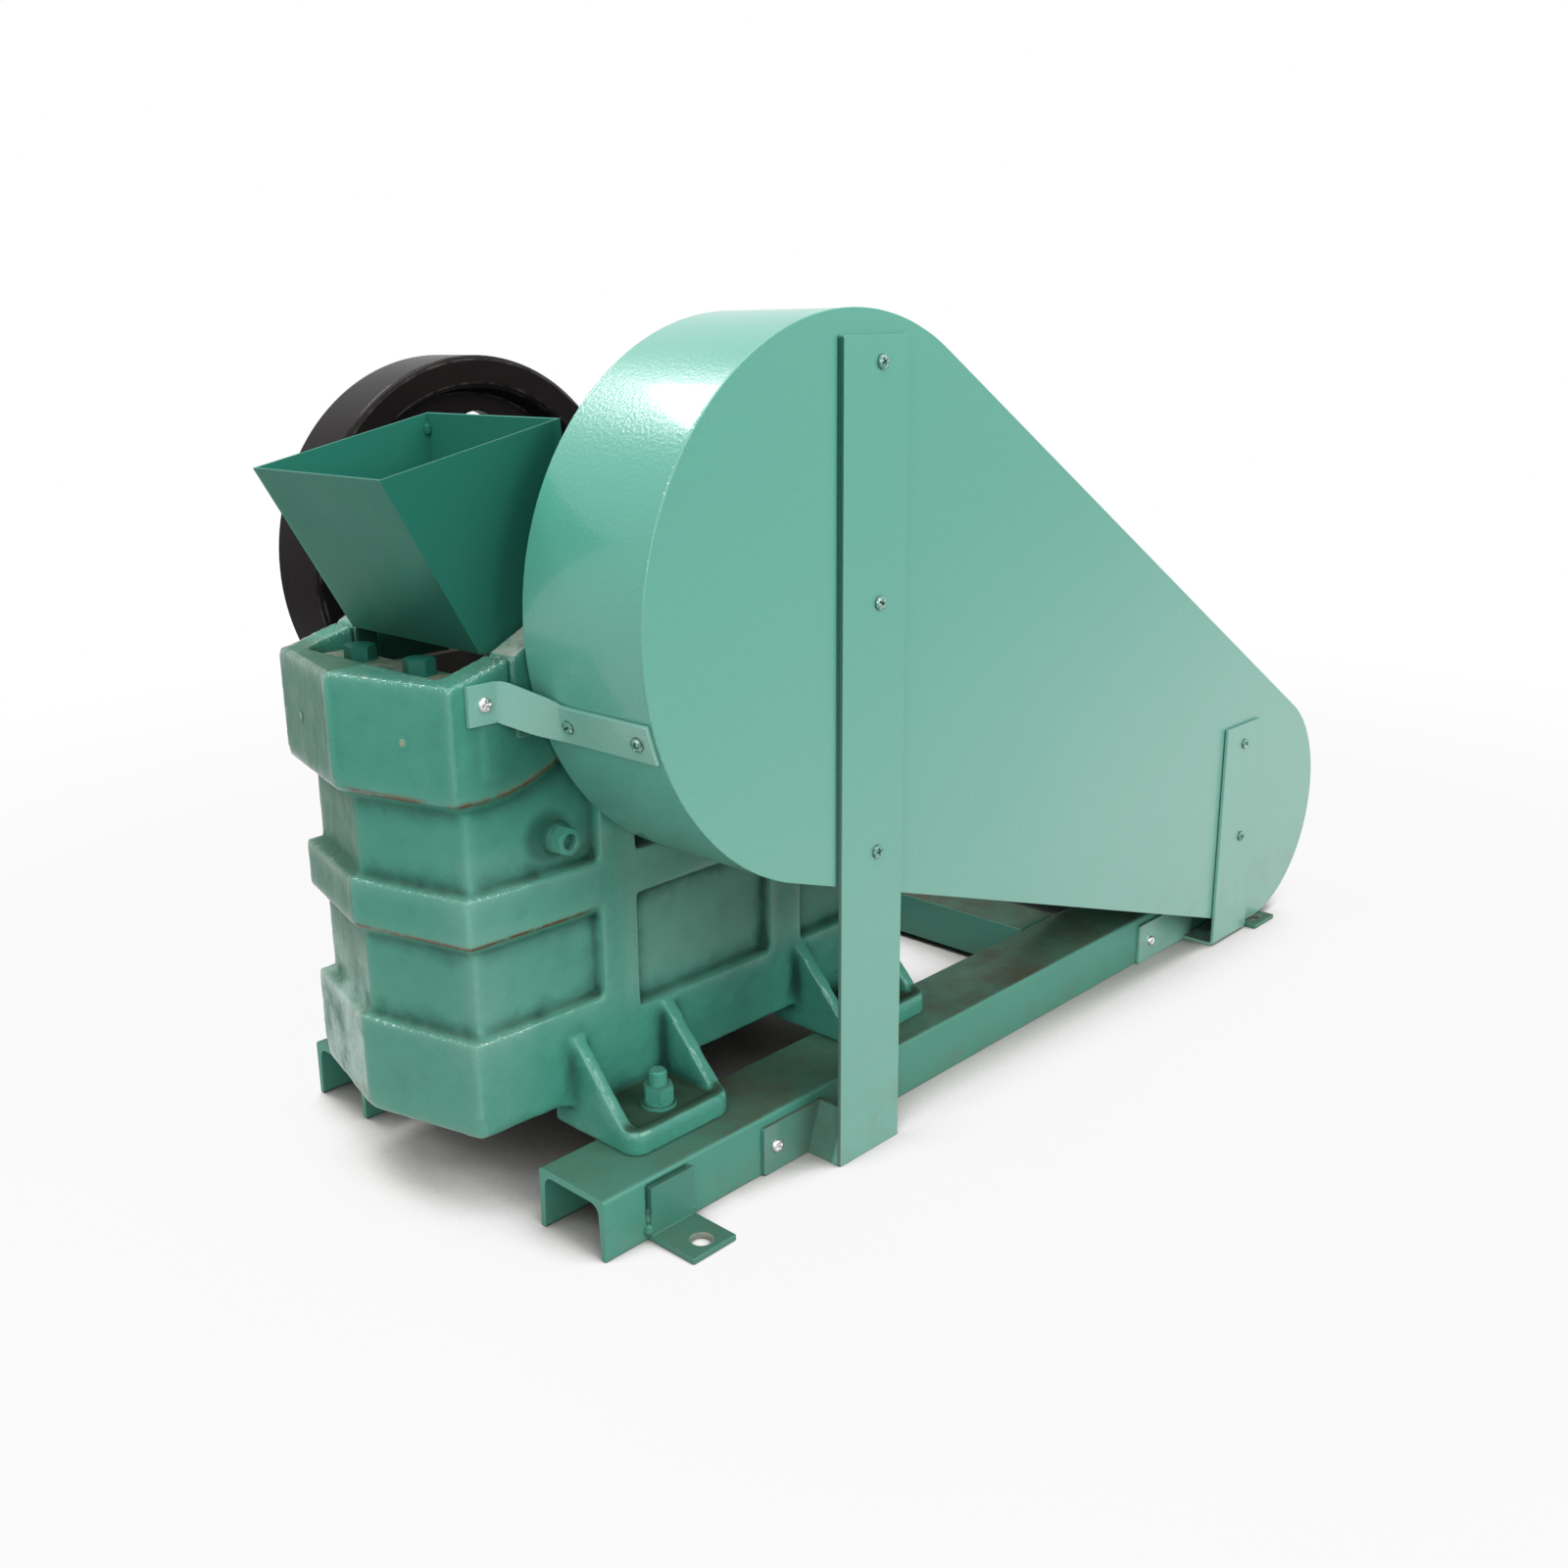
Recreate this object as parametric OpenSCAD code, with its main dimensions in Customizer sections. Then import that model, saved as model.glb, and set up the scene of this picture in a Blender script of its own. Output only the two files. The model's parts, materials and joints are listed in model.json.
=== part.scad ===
// Laboratory jaw crusher on a channel base, with a belt guard, flywheel and feed hopper.
// Millimetres. +X runs from the jaw end to the motor end, +Y from the belt guard to the flywheel.
// The origin is on the ground, in the middle of the four anchor holes.

/* [Base] */
// Distance across the outer flanges of the two rails
base_w = 331; // [320:1:345]
// Width of a rail's web
rail_w = 63; // [58:1:68]
// Height of a rail
rail_h = 43; // [40:1:46]
// Thickness of a rail
rail_t = 5; // [3:0.5:7]
// Front end of the rails, ahead of the origin
rail_front = 429; // [415:1:450]
// Rear end of the rails, behind the origin
rail_rear = 422; // [410:1:440]
// Anchor hole spacing along the machine
anchor_pitch_x = 748; // [740:1:756]
// Anchor holes out from the rails' sides
anchor_out = 29; // [26:0.5:34]
// Anchor hole diameter
anchor_hole_d = 14; // [9:0.5:18]
// Length of an anchor tab along its rail
tab_len = 38; // [34:1:46]
// Height of an anchor tab's upright leg
tab_up = 38; // [30:1:39]
// Thickness of an anchor tab
tab_t = 4; // [3:0.5:4.5]

/* [Drive] */
// Shaft axis along the machine
shaft_x = -228; // [-233:1:-223]
// Shaft axis above the ground
shaft_z = 390; // [385:1:395]
// Radius of the shaft in its bearings
shaft_r = 25; // [20:1:28]
// Throw of the eccentric
throw = 4; // [2:0.5:6]
// Radius of the eccentric journal
journal_r = 32; // [30:1:36]
// Outer radius of the flywheel
wheel_r = 152; // [140:1:165]
// Width of the flywheel rim
wheel_w = 56; // [40:1:70]
// Flywheel rim out from the casting's side
wheel_gap = 82.5; // [70:0.5:95]
// Radial thickness of the flywheel rim
wheel_rim = 24; // [16:1:36]
// Outer radius of the driven pulley
pulley_r = 150; // [130:1:160]
// Outer radius of the motor pulley
motor_pulley_r = 42; // [34:1:55]
// Motor shaft axis along the machine
motor_x = 330; // [326:1:332]
// Motor shaft height above its feet
motor_h = 90; // [88:1:100]
// Radius of the motor housing
motor_r = 78; // [70:1:82]
// Length of the motor housing
motor_len = 190; // [150:1:220]

/* [Guard] */
// Radius of the guard round the driven pulley
guard_r_big = 180; // [172:1:188]
// Radius of the guard round the motor pulley
guard_r_small = 107; // [100:1:107]
// Middle of the guard's small end along the machine
guard_small_x = 372; // [366:1:380]
// Middle of the guard's small end above the ground
guard_small_z = 112; // [112:1:118]
// Sheet thickness of the guard
guard_t = 2; // [1:0.5:3]
// Width of the guard's legs
leg_w = 63; // [50:1:70]
// Sheet thickness of the guard's legs
leg_t = 3; // [2:0.5:4]

/* [Casting] */
// Casting's sides in from the rails' outer faces
casting_gap = 70; // [66:0.5:76]
// Middle plane of the casting across the machine
body_y = 9.5; // [6:0.5:14]
// Underside of the casting above the ground
body_bottom = 62; // [58:1:70]
// Top of the casting above the ground
body_top = 361; // [355:1:365]
// Ridge of the bow front, ahead of the shaft
bow_ahead = 253; // [248:1:262]
// Front corners, ahead of the shaft
corner_ahead = 229; // [226:1:236]
// Rear of the casting, behind the shaft
body_behind = 175; // [170:1:185]
// Thickness of the side walls
wall_t = 22.5; // [20:0.5:26]
// Depth of the panels between the bands and ribs
panel_depth = 8; // [4:0.5:10]
// Radius of the foot studs
stud_r = 7; // [5:0.5:8]

/* [Jaws] */
// Thickness of a jaw plate with its teeth
jaw_t = 22; // [18:1:26]
// Height of the jaw teeth
tooth_h = 7; // [4:0.5:9]
// Number of teeth on a jaw plate
teeth = 8; // [6:1:10]
// Discharge gap between the jaws
jaw_gap = 14; // [8:1:20]
// Feed opening between the jaws at the top
jaw_gape = 95; // [85:1:100]
// Thickness of a cheek plate
cheek_t = 10; // [8:0.5:12]

/* [Hopper] */
// Hopper's sides in from the casting's inner walls
hopper_gap = 3; // [2:0.5:7]
// Sheet thickness of the hopper
hopper_t = 2; // [1.5:0.5:3]
// Front lip of the hopper above the ground
lip_front_z = 480; // [470:1:490]
// Rear lip of the hopper above the ground
lip_rear_z = 507.5; // [500:0.5:515]

/* [Hidden] */
$fn = 96;
seat = 0.2;
run_gap = 0.05;
eps = 0.5;
fuse_in = 0.03;
far = 600;
side_dir = [-1, 1];

// Base
rail_near_y = -base_w / 2;
rail_tip = rail_t - 1;
rail_root = rail_t + 0.5;
rail_fillet = 5;
tab_edge = 12.5;
cross_x = 115;
cross_leg = 50;
cross_drop = 38;
cross_t = 5;
plate_half = 90;
plate_in = 45;
motor_plate_t = 8;

// Casting, measured from the shaft along the machine and from its own middle plane across
body_half = base_w / 2 - casting_gap;
front_half = body_half - 3.5;
inner_half = body_half - wall_t;
inner_front = 39 - bow_ahead;
top_front = 28 - bow_ahead;
shoulder = -125;
band_low_top = 130.5;
band_low_side = 113.5;
band_mid_bot = 195;
band_mid_top = 226.5;
band_top_bot = 288;
top_band_extra = 2;
top_band_nose = 3;
wall_rise = 10.5;
lobe_r = 120;
lobe_ahead = 215;
rib_1 = [-125, -94];
rib_2 = [38, 70];
rib_top = band_top_bot + 10;
rear_edge = 36;
rear_wall_t = 25;
rear_wall_top = 250;
window_h = 62;

// Feet of the casting
stud_off = casting_gap - 38;
foot_out = stud_off + 26.5;
foot_len = 91;
foot_front = -155;
foot_rear = 64;
foot_t = 14;
foot_round = 12;
gusset_t = 10;
gusset_top = 109;
gusset_in = 7;
stud_len = 47;
washer_t = 3;
nut_h = 12;

// Bearings
house_front = -189;
house_rear = 125;
house_seat_z = 320;
house_r = 68;
house_out = 1;
house_slope = 38;
house_fall = 60;
bearing_r = 45;
cover_r = 62;
cover_t = 12;
cover_lip = 7;
cover_step = 14;

// Jaws, in the casting's own plane
fixed_back = inner_front + seat;
fixed_face = fixed_back + jaw_t;
jaw_low = 85;
jaw_high = 344;
jaw_half = inner_half - cheek_t - 1;
cheek_low = jaw_low - 10;
swing_low = [fixed_face + jaw_gap, jaw_low];
swing_high = [fixed_face + jaw_gape, jaw_high];
swing_tilt = atan((swing_high[0] - swing_low[0]) / (swing_high[1] - swing_low[1]));
swing_len = (jaw_high - jaw_low) / cos(swing_tilt);
swing_along = [sin(swing_tilt), cos(swing_tilt)];
swing_normal = [cos(swing_tilt), -sin(swing_tilt)];
clamp_t = 13;
clamp_ahead = 6;
clamp_bolt_x = top_front + 14;
clamp_bolt_y = 0.53 * jaw_half;
clamp_bolt_r = 11;
clamp_head_h = 9;

// Swing jaw, toggle and tension rod
pitman_r = 60;
pitman_half = jaw_half;
pitman_thick = 42;
pitman_heel = 70;
heel_out = 20;
journal_in = 4;
pitman_front_low = swing_low + jaw_t * swing_normal;
pitman_front_high = swing_high + jaw_t * swing_normal;
pitman_back_low = pitman_front_low + pitman_thick * swing_normal;
pitman_back_high = pitman_back_low + pitman_heel * swing_along + [heel_out, 0];
toggle_r = 9;
toggle_in = 6;
toggle_up = 36;
toggle_front = pitman_back_low + toggle_up * swing_along + [toggle_in, 0];
toggle_rear = [72, 138];
toggle_angle = atan2(toggle_rear[1] - toggle_front[1], toggle_rear[0] - toggle_front[0]);
block_half_h = 28;
rod_r = 6;
rod_z = 82;
heel_lean = (pitman_back_high[0] - pitman_back_low[0]) / (pitman_back_high[1] - pitman_back_low[1]);
rod_front = pitman_back_low[0] + (rod_z + rod_r - pitman_back_low[1]) * heel_lean + seat;
rod_rear = body_behind + 78;
rod_washer_r = 17;
rod_washer_t = 4;
rod_nut_r = 10.5;
rod_nut_h = 10;
rod_tail = 12;
spring_span = rod_rear - rod_tail - rod_nut_h - rod_washer_t - body_behind;
spring_wire = 3;
spring_turns = 6;

// Hopper profile along the machine
hopper_half = inner_half - hopper_gap;
hopper_foot_z = 371;
hopper_foot_front = -192;
hopper_foot_rear = -112;
lip_front = -253.5;
lip_rear = -121;
hopper_leg = [-174, -118];

// Guard, across the machine from its outer face
guard_y = -base_w / 2 - anchor_out;
rim_clear = 0.5;
guard_depth = body_y - body_half - top_band_extra - rim_clear - guard_y;
rim_cut_in = 22;
rim_cut_x = [100, 500];
rim_cut_gap = 2;
leg_front_x = shaft_x - 15;
leg_front_top = 554;
flange_front_x = shaft_x - 59.5;
leg_rear_x = shaft_x + 516;
leg_rear_top = 207;
flange_rear_x = shaft_x + 434.5;
flange_rear_w = 95;
flange_h = 36;
web_lean = 13;
brace_w = 25;
brace_t = 3;
brace_z = 347.5;
brace_x = shaft_x - 200;
brace_flange = 22.5;
brace_tilt = -18.5;
brace_edge = 3;
brace_step = 20;
brace_lap = 2.5;

// Drive train across the machine
pulley_mid_y = guard_y + round(0.52 * guard_depth);
pulley_w = 50;
pulley_hub_r = 44;
pulley_rim_t = 34;
pulley_web = 8;
pulley_window_r = 22;
pulley_window_at = 80;
taper = 4;
belt_pitch = 20;
belt_top = 13;
belt_low = 8;
belt_h = 8;
belt_sink = 1.8;
belt_side = 0.6;
belt_steps = 36;
groove_depth = 11;
belt_r_big = pulley_r - belt_sink;
belt_r_small = motor_pulley_r - belt_sink;
shaft_near_y = guard_y + 14;
shaft_tail = 10;
shaft_edge = 3;
wheel_near_y = body_y + body_half + wheel_gap;
wheel_web = 16;
wheel_hub_r = 46;
wheel_hub_out = 18;
wheel_window_r = 26;
wheel_window_at = 84;
wheel_window_turn = 80;
wheel_edge = 3;

// Motor
motor_z = rail_h + motor_plate_t + motor_h;
motor_front_y = guard_y + guard_depth + 6;
shield_t = 14;
shield_lap = 1;
shield_boss_r = 38;
shield_boss = 4;
motor_fins = 28;
fin_depth = 7;
fin_gap = 6;
motor_shaft_r = 12;
motor_foot_at = 62;
motor_foot_w = 36;
motor_foot_t = 10;
motor_foot_rib = 12;
motor_foot_h = motor_h - 46;
motor_foot_in = 22;
fan_len = 44;
fan_round = 10;
box_rise = 3;
box_at = 40;
box_seat = 64;
box_x = 84;
box_y = 80;
box_h = 34;
box_lid = 6;
box_lip = 2;

green = "#5a9c88";
black = "#26262a";
steel = "#9a9c9e";
rubber = "#1c1c1e";

// Stands a drawing made in X and Z upright, running from y0 to y1
module across(y0, y1) {
    translate([0, y1, 0]) rotate([90, 0, 0]) linear_extrude(y1 - y0) children();
}

// Runs a drawing made in Y and Z along X for a length
module along(len) {
    rotate([90, 0, 90]) linear_extrude(len) children();
}

// Turns what is drawn on the far side over to the near side when s is negative
module on_side(s) {
    mirror([0, s < 0 ? 1 : 0, 0]) children();
}

// Moves the casting's own plane, centred on the shaft, into the machine
module at_body() {
    translate([shaft_x, body_y, 0]) children();
}

// Teardrop outline of the guard, shrunk by inset: two circles and their outer tangents.
// The tangent lines run a hair inside the circles, so that the three shapes fuse cleanly.
module teardrop(inset) {
    r1 = guard_r_big - inset;
    r2 = guard_r_small - inset;
    run = [guard_small_x - shaft_x, guard_small_z - shaft_z];
    base = atan2(run[1], run[0]);
    swing = acos((r1 - r2) / norm(run));
    translate([shaft_x, shaft_z]) circle(r1);
    translate([guard_small_x, guard_small_z]) circle(r2);
    polygon([for (end = [[1, 0], [-1, 0], [-1, 1], [1, 1]])
        let (r = (end[1] == 0 ? r1 : r2) - fuse_in)
            let (a = base + end[0] * swing)
                [shaft_x, shaft_z] + end[1] * run + r * [cos(a), sin(a)]]);
}

// Channel rail, web up, with tapered flanges and the holes of the foot studs
module rail(y0) {
    low = rail_h - rail_t;
    color(green) difference() {
        translate([-rail_front, y0, 0]) along(rail_front + rail_rear) polygon([
            [0, 0], [rail_tip, 0], [rail_root, low - rail_fillet], [rail_root + rail_fillet, low],
            [rail_w - rail_root - rail_fillet, low], [rail_w - rail_root, low - rail_fillet],
            [rail_w - rail_tip, 0], [rail_w, 0], [rail_w, rail_h], [0, rail_h]
        ]);
        at_body() for (f = [foot_front, foot_rear]) for (s = side_dir)
            translate([f + foot_len / 2, s * (body_half + stud_off), 0])
                cylinder(r = stud_r + run_gap, h = rail_h + eps);
    }
}
module base_rail_near() rail(rail_near_y);
module base_rail_far() rail(-rail_near_y - rail_w);

// Anchor tab: a short angle against the rail's outer flange, drilled through its floor leg
module anchor_tab(x, s) {
    color(green) on_side(s) translate([x, base_w / 2, 0]) difference() {
        translate([-tab_len / 2, 0, 0]) union() {
            cube([tab_len, anchor_out + tab_edge, tab_t]);
            cube([tab_len, tab_t, tab_up]);
        }
        translate([0, anchor_out, -eps]) cylinder(d = anchor_hole_d, h = tab_t + 2 * eps);
    }
}
module anchor_tab_front_near() anchor_tab(-anchor_pitch_x / 2, -1);
module anchor_tab_front_far() anchor_tab(-anchor_pitch_x / 2, 1);
module anchor_tab_rear_near() anchor_tab(anchor_pitch_x / 2, -1);
module anchor_tab_rear_far() anchor_tab(anchor_pitch_x / 2, 1);

// Angle between the rails behind the casting, flush with their tops, upright leg to the front
module cross_angle() {
    span = base_w - 2 * rail_w - seat;
    color(green) translate([cross_x, -span / 2, rail_h]) union() {
        translate([0, 0, -cross_drop]) cube([cross_t, span, cross_drop]);
        translate([0, 0, -cross_t]) cube([cross_leg, span, cross_t]);
    }
}

// Plate across the rails that carries the motor
module motor_plate() {
    color(green) translate([motor_x - plate_half, rail_near_y + plate_in, rail_h])
        cube([2 * plate_half, base_w - plate_in, motor_plate_t]);
}

// Plan outline of the casting, set in by inset, with its front moved ahead by nose
module body_plan(inset, nose = 0) {
    polygon([
        [-bow_ahead + inset - nose, 0],
        [-corner_ahead + inset - nose, -front_half + inset],
        [shoulder, -body_half + inset],
        [body_behind - inset, -body_half + inset],
        [body_behind - inset, body_half - inset],
        [shoulder, body_half - inset],
        [-corner_ahead + inset - nose, front_half - inset]
    ]);
}

// A band round the casting from z0 to z1
module band(z0, z1, inset = 0, nose = 0) {
    translate([0, 0, z0]) linear_extrude(z1 - z0) body_plan(inset, nose);
}

// Upright bars on both sides of the casting
module side_bar(x0, x1) {
    for (s = side_dir) on_side(s)
        translate([x0, body_half - panel_depth - 1, body_bottom])
            cube([x1 - x0, panel_depth + 1, rib_top - body_bottom]);
}

// One foot on the far side: a plate with rounded outer corners, a pad under the wall, two gussets
module foot(x0) {
    depth = body_half + foot_out - inner_half;
    rise = gusset_top - rail_h - foot_t + 1;
    translate([x0, 0, 0]) difference() {
        union() {
            translate([0, inner_half, rail_h]) linear_extrude(foot_t) union() {
                square([foot_len, depth - foot_round]);
                translate([foot_round, 0]) square([foot_len - 2 * foot_round, depth]);
                for (x = [foot_round, foot_len - foot_round])
                    translate([x, depth - foot_round]) circle(foot_round);
            }
            translate([0, inner_half, rail_h]) cube([foot_len, wall_t, body_bottom - rail_h + 1]);
            for (g = [0, foot_len - gusset_t])
                translate([g, body_half - 2, rail_h + foot_t - 1]) along(gusset_t)
                    polygon([[0, 0], [foot_out - gusset_in, 0], [4, rise], [0, rise]]);
        }
        translate([foot_len / 2, body_half + stud_off, 0])
            cylinder(r = stud_r + run_gap, h = gusset_top);
    }
}

module crusher_body() {
    color(green) at_body() difference() {
        union() {
            band(body_bottom, body_top, panel_depth);
            // low band, higher round the bow front than along the sides
            band(body_bottom, band_low_side);
            intersection() {
                band(body_bottom, band_low_top);
                translate([-far, -far, 0]) cube([far + rib_1[1], 2 * far, far]);
            }
            band(band_mid_bot, band_mid_top);
            // top band, its lower edge swept up along the sides
            intersection() {
                band(band_top_bot, body_top, -top_band_extra, top_band_nose);
                across(-far, far) {
                    translate([-far, band_top_bot]) square([far - lobe_ahead, far]);
                    translate([-lobe_ahead, band_top_bot + lobe_r]) circle(lobe_r);
                }
            }
            // side walls, rising behind the front corners to the bearing housings
            intersection() {
                band(band_top_bot, body_top + wall_rise, -top_band_extra, top_band_nose);
                across(-far, far) polygon([
                    [-corner_ahead, body_top - 1], [house_front, body_top - 1],
                    [house_front, body_top + wall_rise], [-corner_ahead, body_top]
                ]);
            }
            side_bar(rib_1[0], rib_1[1]);
            side_bar(rib_2[0], rib_2[1]);
            side_bar(body_behind - rear_edge, body_behind);
            for (x = [foot_front, foot_rear]) for (s = side_dir) on_side(s) foot(x);
        }
        // crushing chamber and the space behind the swing jaw
        translate([inner_front, -inner_half, 0])
            cube([body_behind - rear_wall_t - inner_front, 2 * inner_half, far]);
        // ledge of the clamp bar
        translate([top_front, -inner_half, jaw_high])
            cube([inner_front - top_front + eps, 2 * inner_half, far]);
        // rear wall stops below the pitman, with the tension rod's hole
        translate([body_behind - rear_wall_t - eps, -inner_half, rear_wall_top])
            cube([far, 2 * inner_half, far]);
        translate([body_behind - 2 * rear_wall_t, 0, rod_z]) rotate([0, 90, 0])
            cylinder(r = rod_r + 2, h = 4 * rear_wall_t);
        // seats of the bearing housings
        translate([house_front - seat, -far, house_seat_z - seat]) cube([far, 2 * far, far]);
        // side windows between the ribs
        translate([rib_1[1], -far, band_mid_top]) cube([rib_2[0] - rib_1[1], 2 * far, window_h]);
    }
}

// Studs, nuts and washers of the four feet
module foot_bolts() {
    foot_z = rail_h + foot_t;
    color(green) at_body()
        for (x = [foot_front, foot_rear]) for (s = side_dir)
            translate([x + foot_len / 2, s * (body_half + stud_off), 0]) union() {
                translate([0, 0, rail_h - rail_t]) cylinder(r = stud_r, h = stud_len);
                translate([0, 0, foot_z]) cylinder(r = 2 * stud_r, h = washer_t);
                translate([0, 0, foot_z + washer_t]) cylinder(r = 1.75 * stud_r, h = nut_h, $fn = 6);
            }
}

// Bearing housing: a flanked block set in the side wall, bored for the bearing
module bearing_housing(s) {
    y1 = body_half + house_out;
    arc = house_r - 1;
    color(green) at_body() on_side(s) difference() {
        across(inner_half, y1) {
            translate([0, shaft_z]) circle(house_r);
            polygon([
                [house_front, house_seat_z], [house_rear, house_seat_z], [house_rear, body_top],
                [arc * sin(house_fall), shaft_z + arc * cos(house_fall)],
                [-arc * sin(house_slope), shaft_z + arc * cos(house_slope)],
                [house_front, body_top + wall_rise]
            ]);
        }
        translate([0, inner_half - eps, shaft_z]) rotate([-90, 0, 0])
            cylinder(r = bearing_r, h = wall_t + house_out + 2 * eps);
    }
}
module bearing_housing_near() bearing_housing(-1);
module bearing_housing_far() bearing_housing(1);

// Bearing ring between the housing and the shaft
module bearing(s) {
    color(steel) at_body() on_side(s) translate([0, inner_half, shaft_z]) rotate([-90, 0, 0])
        difference() {
            cylinder(r = bearing_r - run_gap, h = wall_t + house_out);
            translate([0, 0, -eps]) cylinder(r = shaft_r + run_gap, h = wall_t + house_out + 2 * eps);
        }
}
module bearing_near() bearing(-1);
module bearing_far() bearing(1);

// Bearing cover bolted on the housing's outer face
module bearing_cover(s) {
    color(green) at_body() on_side(s) translate([0, body_half + house_out, shaft_z])
        rotate([-90, 0, 0]) difference() {
            union() {
                cylinder(r = cover_r, h = cover_lip);
                cylinder(r = cover_r - cover_step, h = cover_t);
            }
            translate([0, 0, -eps]) cylinder(r = shaft_r + 2, h = cover_t + 2 * eps);
        }
}
module bearing_cover_near() bearing_cover(-1);
module bearing_cover_far() bearing_cover(1);

// Cross section of a toothed jaw plate, teeth towards +X, back at 0
module jaw_section() {
    pitch = 2 * jaw_half / teeth;
    root = jaw_t - tooth_h;
    polygon(concat(
        [[0, jaw_half], [0, -jaw_half], [root, -jaw_half]],
        [for (i = [0 : teeth - 1]) each [
            [jaw_t, -jaw_half + (i + 0.42) * pitch],
            [jaw_t, -jaw_half + (i + 0.58) * pitch],
            [root, -jaw_half + (i + 1) * pitch]
        ]]
    ));
}

module fixed_jaw_plate() {
    color(steel) at_body() translate([fixed_back, 0, jaw_low])
        linear_extrude(jaw_high - jaw_low) jaw_section();
}

// Bar that clamps the top of the fixed jaw plate, with its two bolt heads
module jaw_clamp_bar() {
    half = inner_half - 1;
    color(green) at_body() union() {
        translate([top_front + seat, -half, jaw_high]) cube([jaw_t + clamp_ahead, 2 * half, clamp_t]);
        for (s = side_dir) translate([clamp_bolt_x, s * clamp_bolt_y, jaw_high + clamp_t]) {
            cylinder(r = clamp_bolt_r + 2, h = 2);
            cylinder(r = clamp_bolt_r, h = clamp_head_h + 2, $fn = 6);
        }
    }
}

// Cheek plate on the inside of a side wall
module cheek_plate(s) {
    rear = swing_high[0] + jaw_t - 12;
    color(steel) at_body() on_side(s) across(inner_half - cheek_t, inner_half)
        polygon([
            [fixed_back, cheek_low], [swing_low[0] + jaw_t + 10, cheek_low],
            [rear, jaw_high - 20], [rear, jaw_high], [fixed_back, jaw_high]
        ]);
}
module cheek_plate_near() cheek_plate(-1);
module cheek_plate_far() cheek_plate(1);

// Swing jaw: the pitman hung on the eccentric, with the groove that seats the toggle plate
module swing_jaw() {
    arc = pitman_r - 1;
    color(green) at_body() difference() {
        across(-pitman_half, pitman_half) {
            translate([0, shaft_z]) circle(pitman_r);
            polygon([
                pitman_front_low, pitman_back_low, pitman_back_high,
                [arc * cos(30), shaft_z - arc * sin(30)],
                [-arc * cos(10), shaft_z - arc * sin(10)],
                pitman_front_high
            ]);
        }
        translate([0, -pitman_half - eps, shaft_z]) rotate([-90, 0, 0])
            cylinder(r = journal_r + throw + seat, h = 2 * pitman_half + 2 * eps);
        across(-pitman_half - eps, pitman_half + eps) {
            translate(toggle_front) circle(toggle_r + seat);
            translate(toggle_front) rotate(toggle_angle) translate([0, -toggle_r - 1])
                square([pitman_thick, 2 * toggle_r + 2]);
        }
    }
}

module swing_jaw_plate() {
    color(steel) at_body() translate([pitman_front_low[0], 0, pitman_front_low[1]])
        rotate([0, swing_tilt, 0]) mirror([1, 0, 0]) translate([seat, 0, 0])
            linear_extrude(swing_len) jaw_section();
}

// Toggle plate between the swing jaw and the adjusting block
module toggle_plate() {
    half = pitman_half - 6;
    color(steel) at_body() across(-half, half) {
        translate(toggle_front) circle(toggle_r);
        translate(toggle_rear) circle(toggle_r);
        translate(toggle_front) rotate(toggle_angle) translate([0, -toggle_r])
            square([norm(toggle_rear - toggle_front), 2 * toggle_r]);
    }
}

// Block in front of the rear wall that takes the toggle
module toggle_block() {
    half = inner_half - seat;
    color(green) at_body() difference() {
        translate([toggle_rear[0], -half, toggle_rear[1] - block_half_h])
            cube([body_behind - rear_wall_t - toggle_rear[0], 2 * half, 2 * block_half_h]);
        translate([toggle_rear[0], -half - eps, toggle_rear[1]]) rotate([-90, 0, 0])
            cylinder(r = toggle_r + seat, h = 2 * half + 2 * eps);
    }
}

// Rod that pulls the swing jaw back on its toggle, with its washer and nut
module tension_rod() {
    nut_x = rod_rear - rod_tail - rod_nut_h;
    color(steel) at_body() union() {
        translate([rod_front, 0, rod_z]) rotate([0, 90, 0]) cylinder(r = rod_r, h = rod_rear - rod_front);
        translate([nut_x - rod_washer_t, 0, rod_z]) rotate([0, 90, 0])
            cylinder(r = rod_washer_r, h = rod_washer_t);
        translate([nut_x, 0, rod_z]) rotate([0, 90, 0]) cylinder(r = rod_nut_r, h = rod_nut_h, $fn = 6);
    }
}

// Coil spring round the tension rod, a row of touching turns as one sleeve
module tension_spring() {
    inner = rod_r + seat;
    outer = rod_r + 2 * spring_wire;
    pitch = spring_span / spring_turns;
    color(black) at_body() translate([body_behind, 0, rod_z]) rotate([0, 90, 0]) rotate_extrude()
        polygon(concat(
            [[inner, spring_span], [inner, 0], [outer - 2, 0]],
            [for (i = [0 : spring_turns - 1]) each [
                [outer, (i + 0.25) * pitch],
                [outer, (i + 0.75) * pitch],
                [outer - 2, (i + 1) * pitch]
            ]]
        ));
}

// Hopper: two sides with a leg on the cheek plates, a leaning front and a rear sheet
module hopper() {
    front_foot = [hopper_foot_front, hopper_foot_z];
    front_lip = [lip_front, lip_front_z];
    rear_lip = [lip_rear, lip_rear_z];
    rear_foot = [hopper_foot_rear, hopper_foot_z];
    leg_z = jaw_high + seat;
    slope = hopper_t / cos(atan((hopper_foot_front - lip_front) / (lip_front_z - hopper_foot_z)));
    color(green) at_body() union() {
        for (s = side_dir) on_side(s) across(hopper_half - hopper_t, hopper_half)
            polygon([
                front_foot, [hopper_leg[0], hopper_foot_z], [hopper_leg[0], leg_z], [hopper_leg[1], leg_z],
                [hopper_leg[1], hopper_foot_z], rear_foot, rear_lip, front_lip
            ]);
        across(-hopper_half, hopper_half)
            polygon([front_foot, front_foot + [slope, 0], front_lip + [slope, 0.4], front_lip]);
        across(-hopper_half, hopper_half)
            polygon([rear_foot - [hopper_t, 0], rear_foot, rear_lip, rear_lip - [hopper_t, 0.4]]);
    }
}

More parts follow.
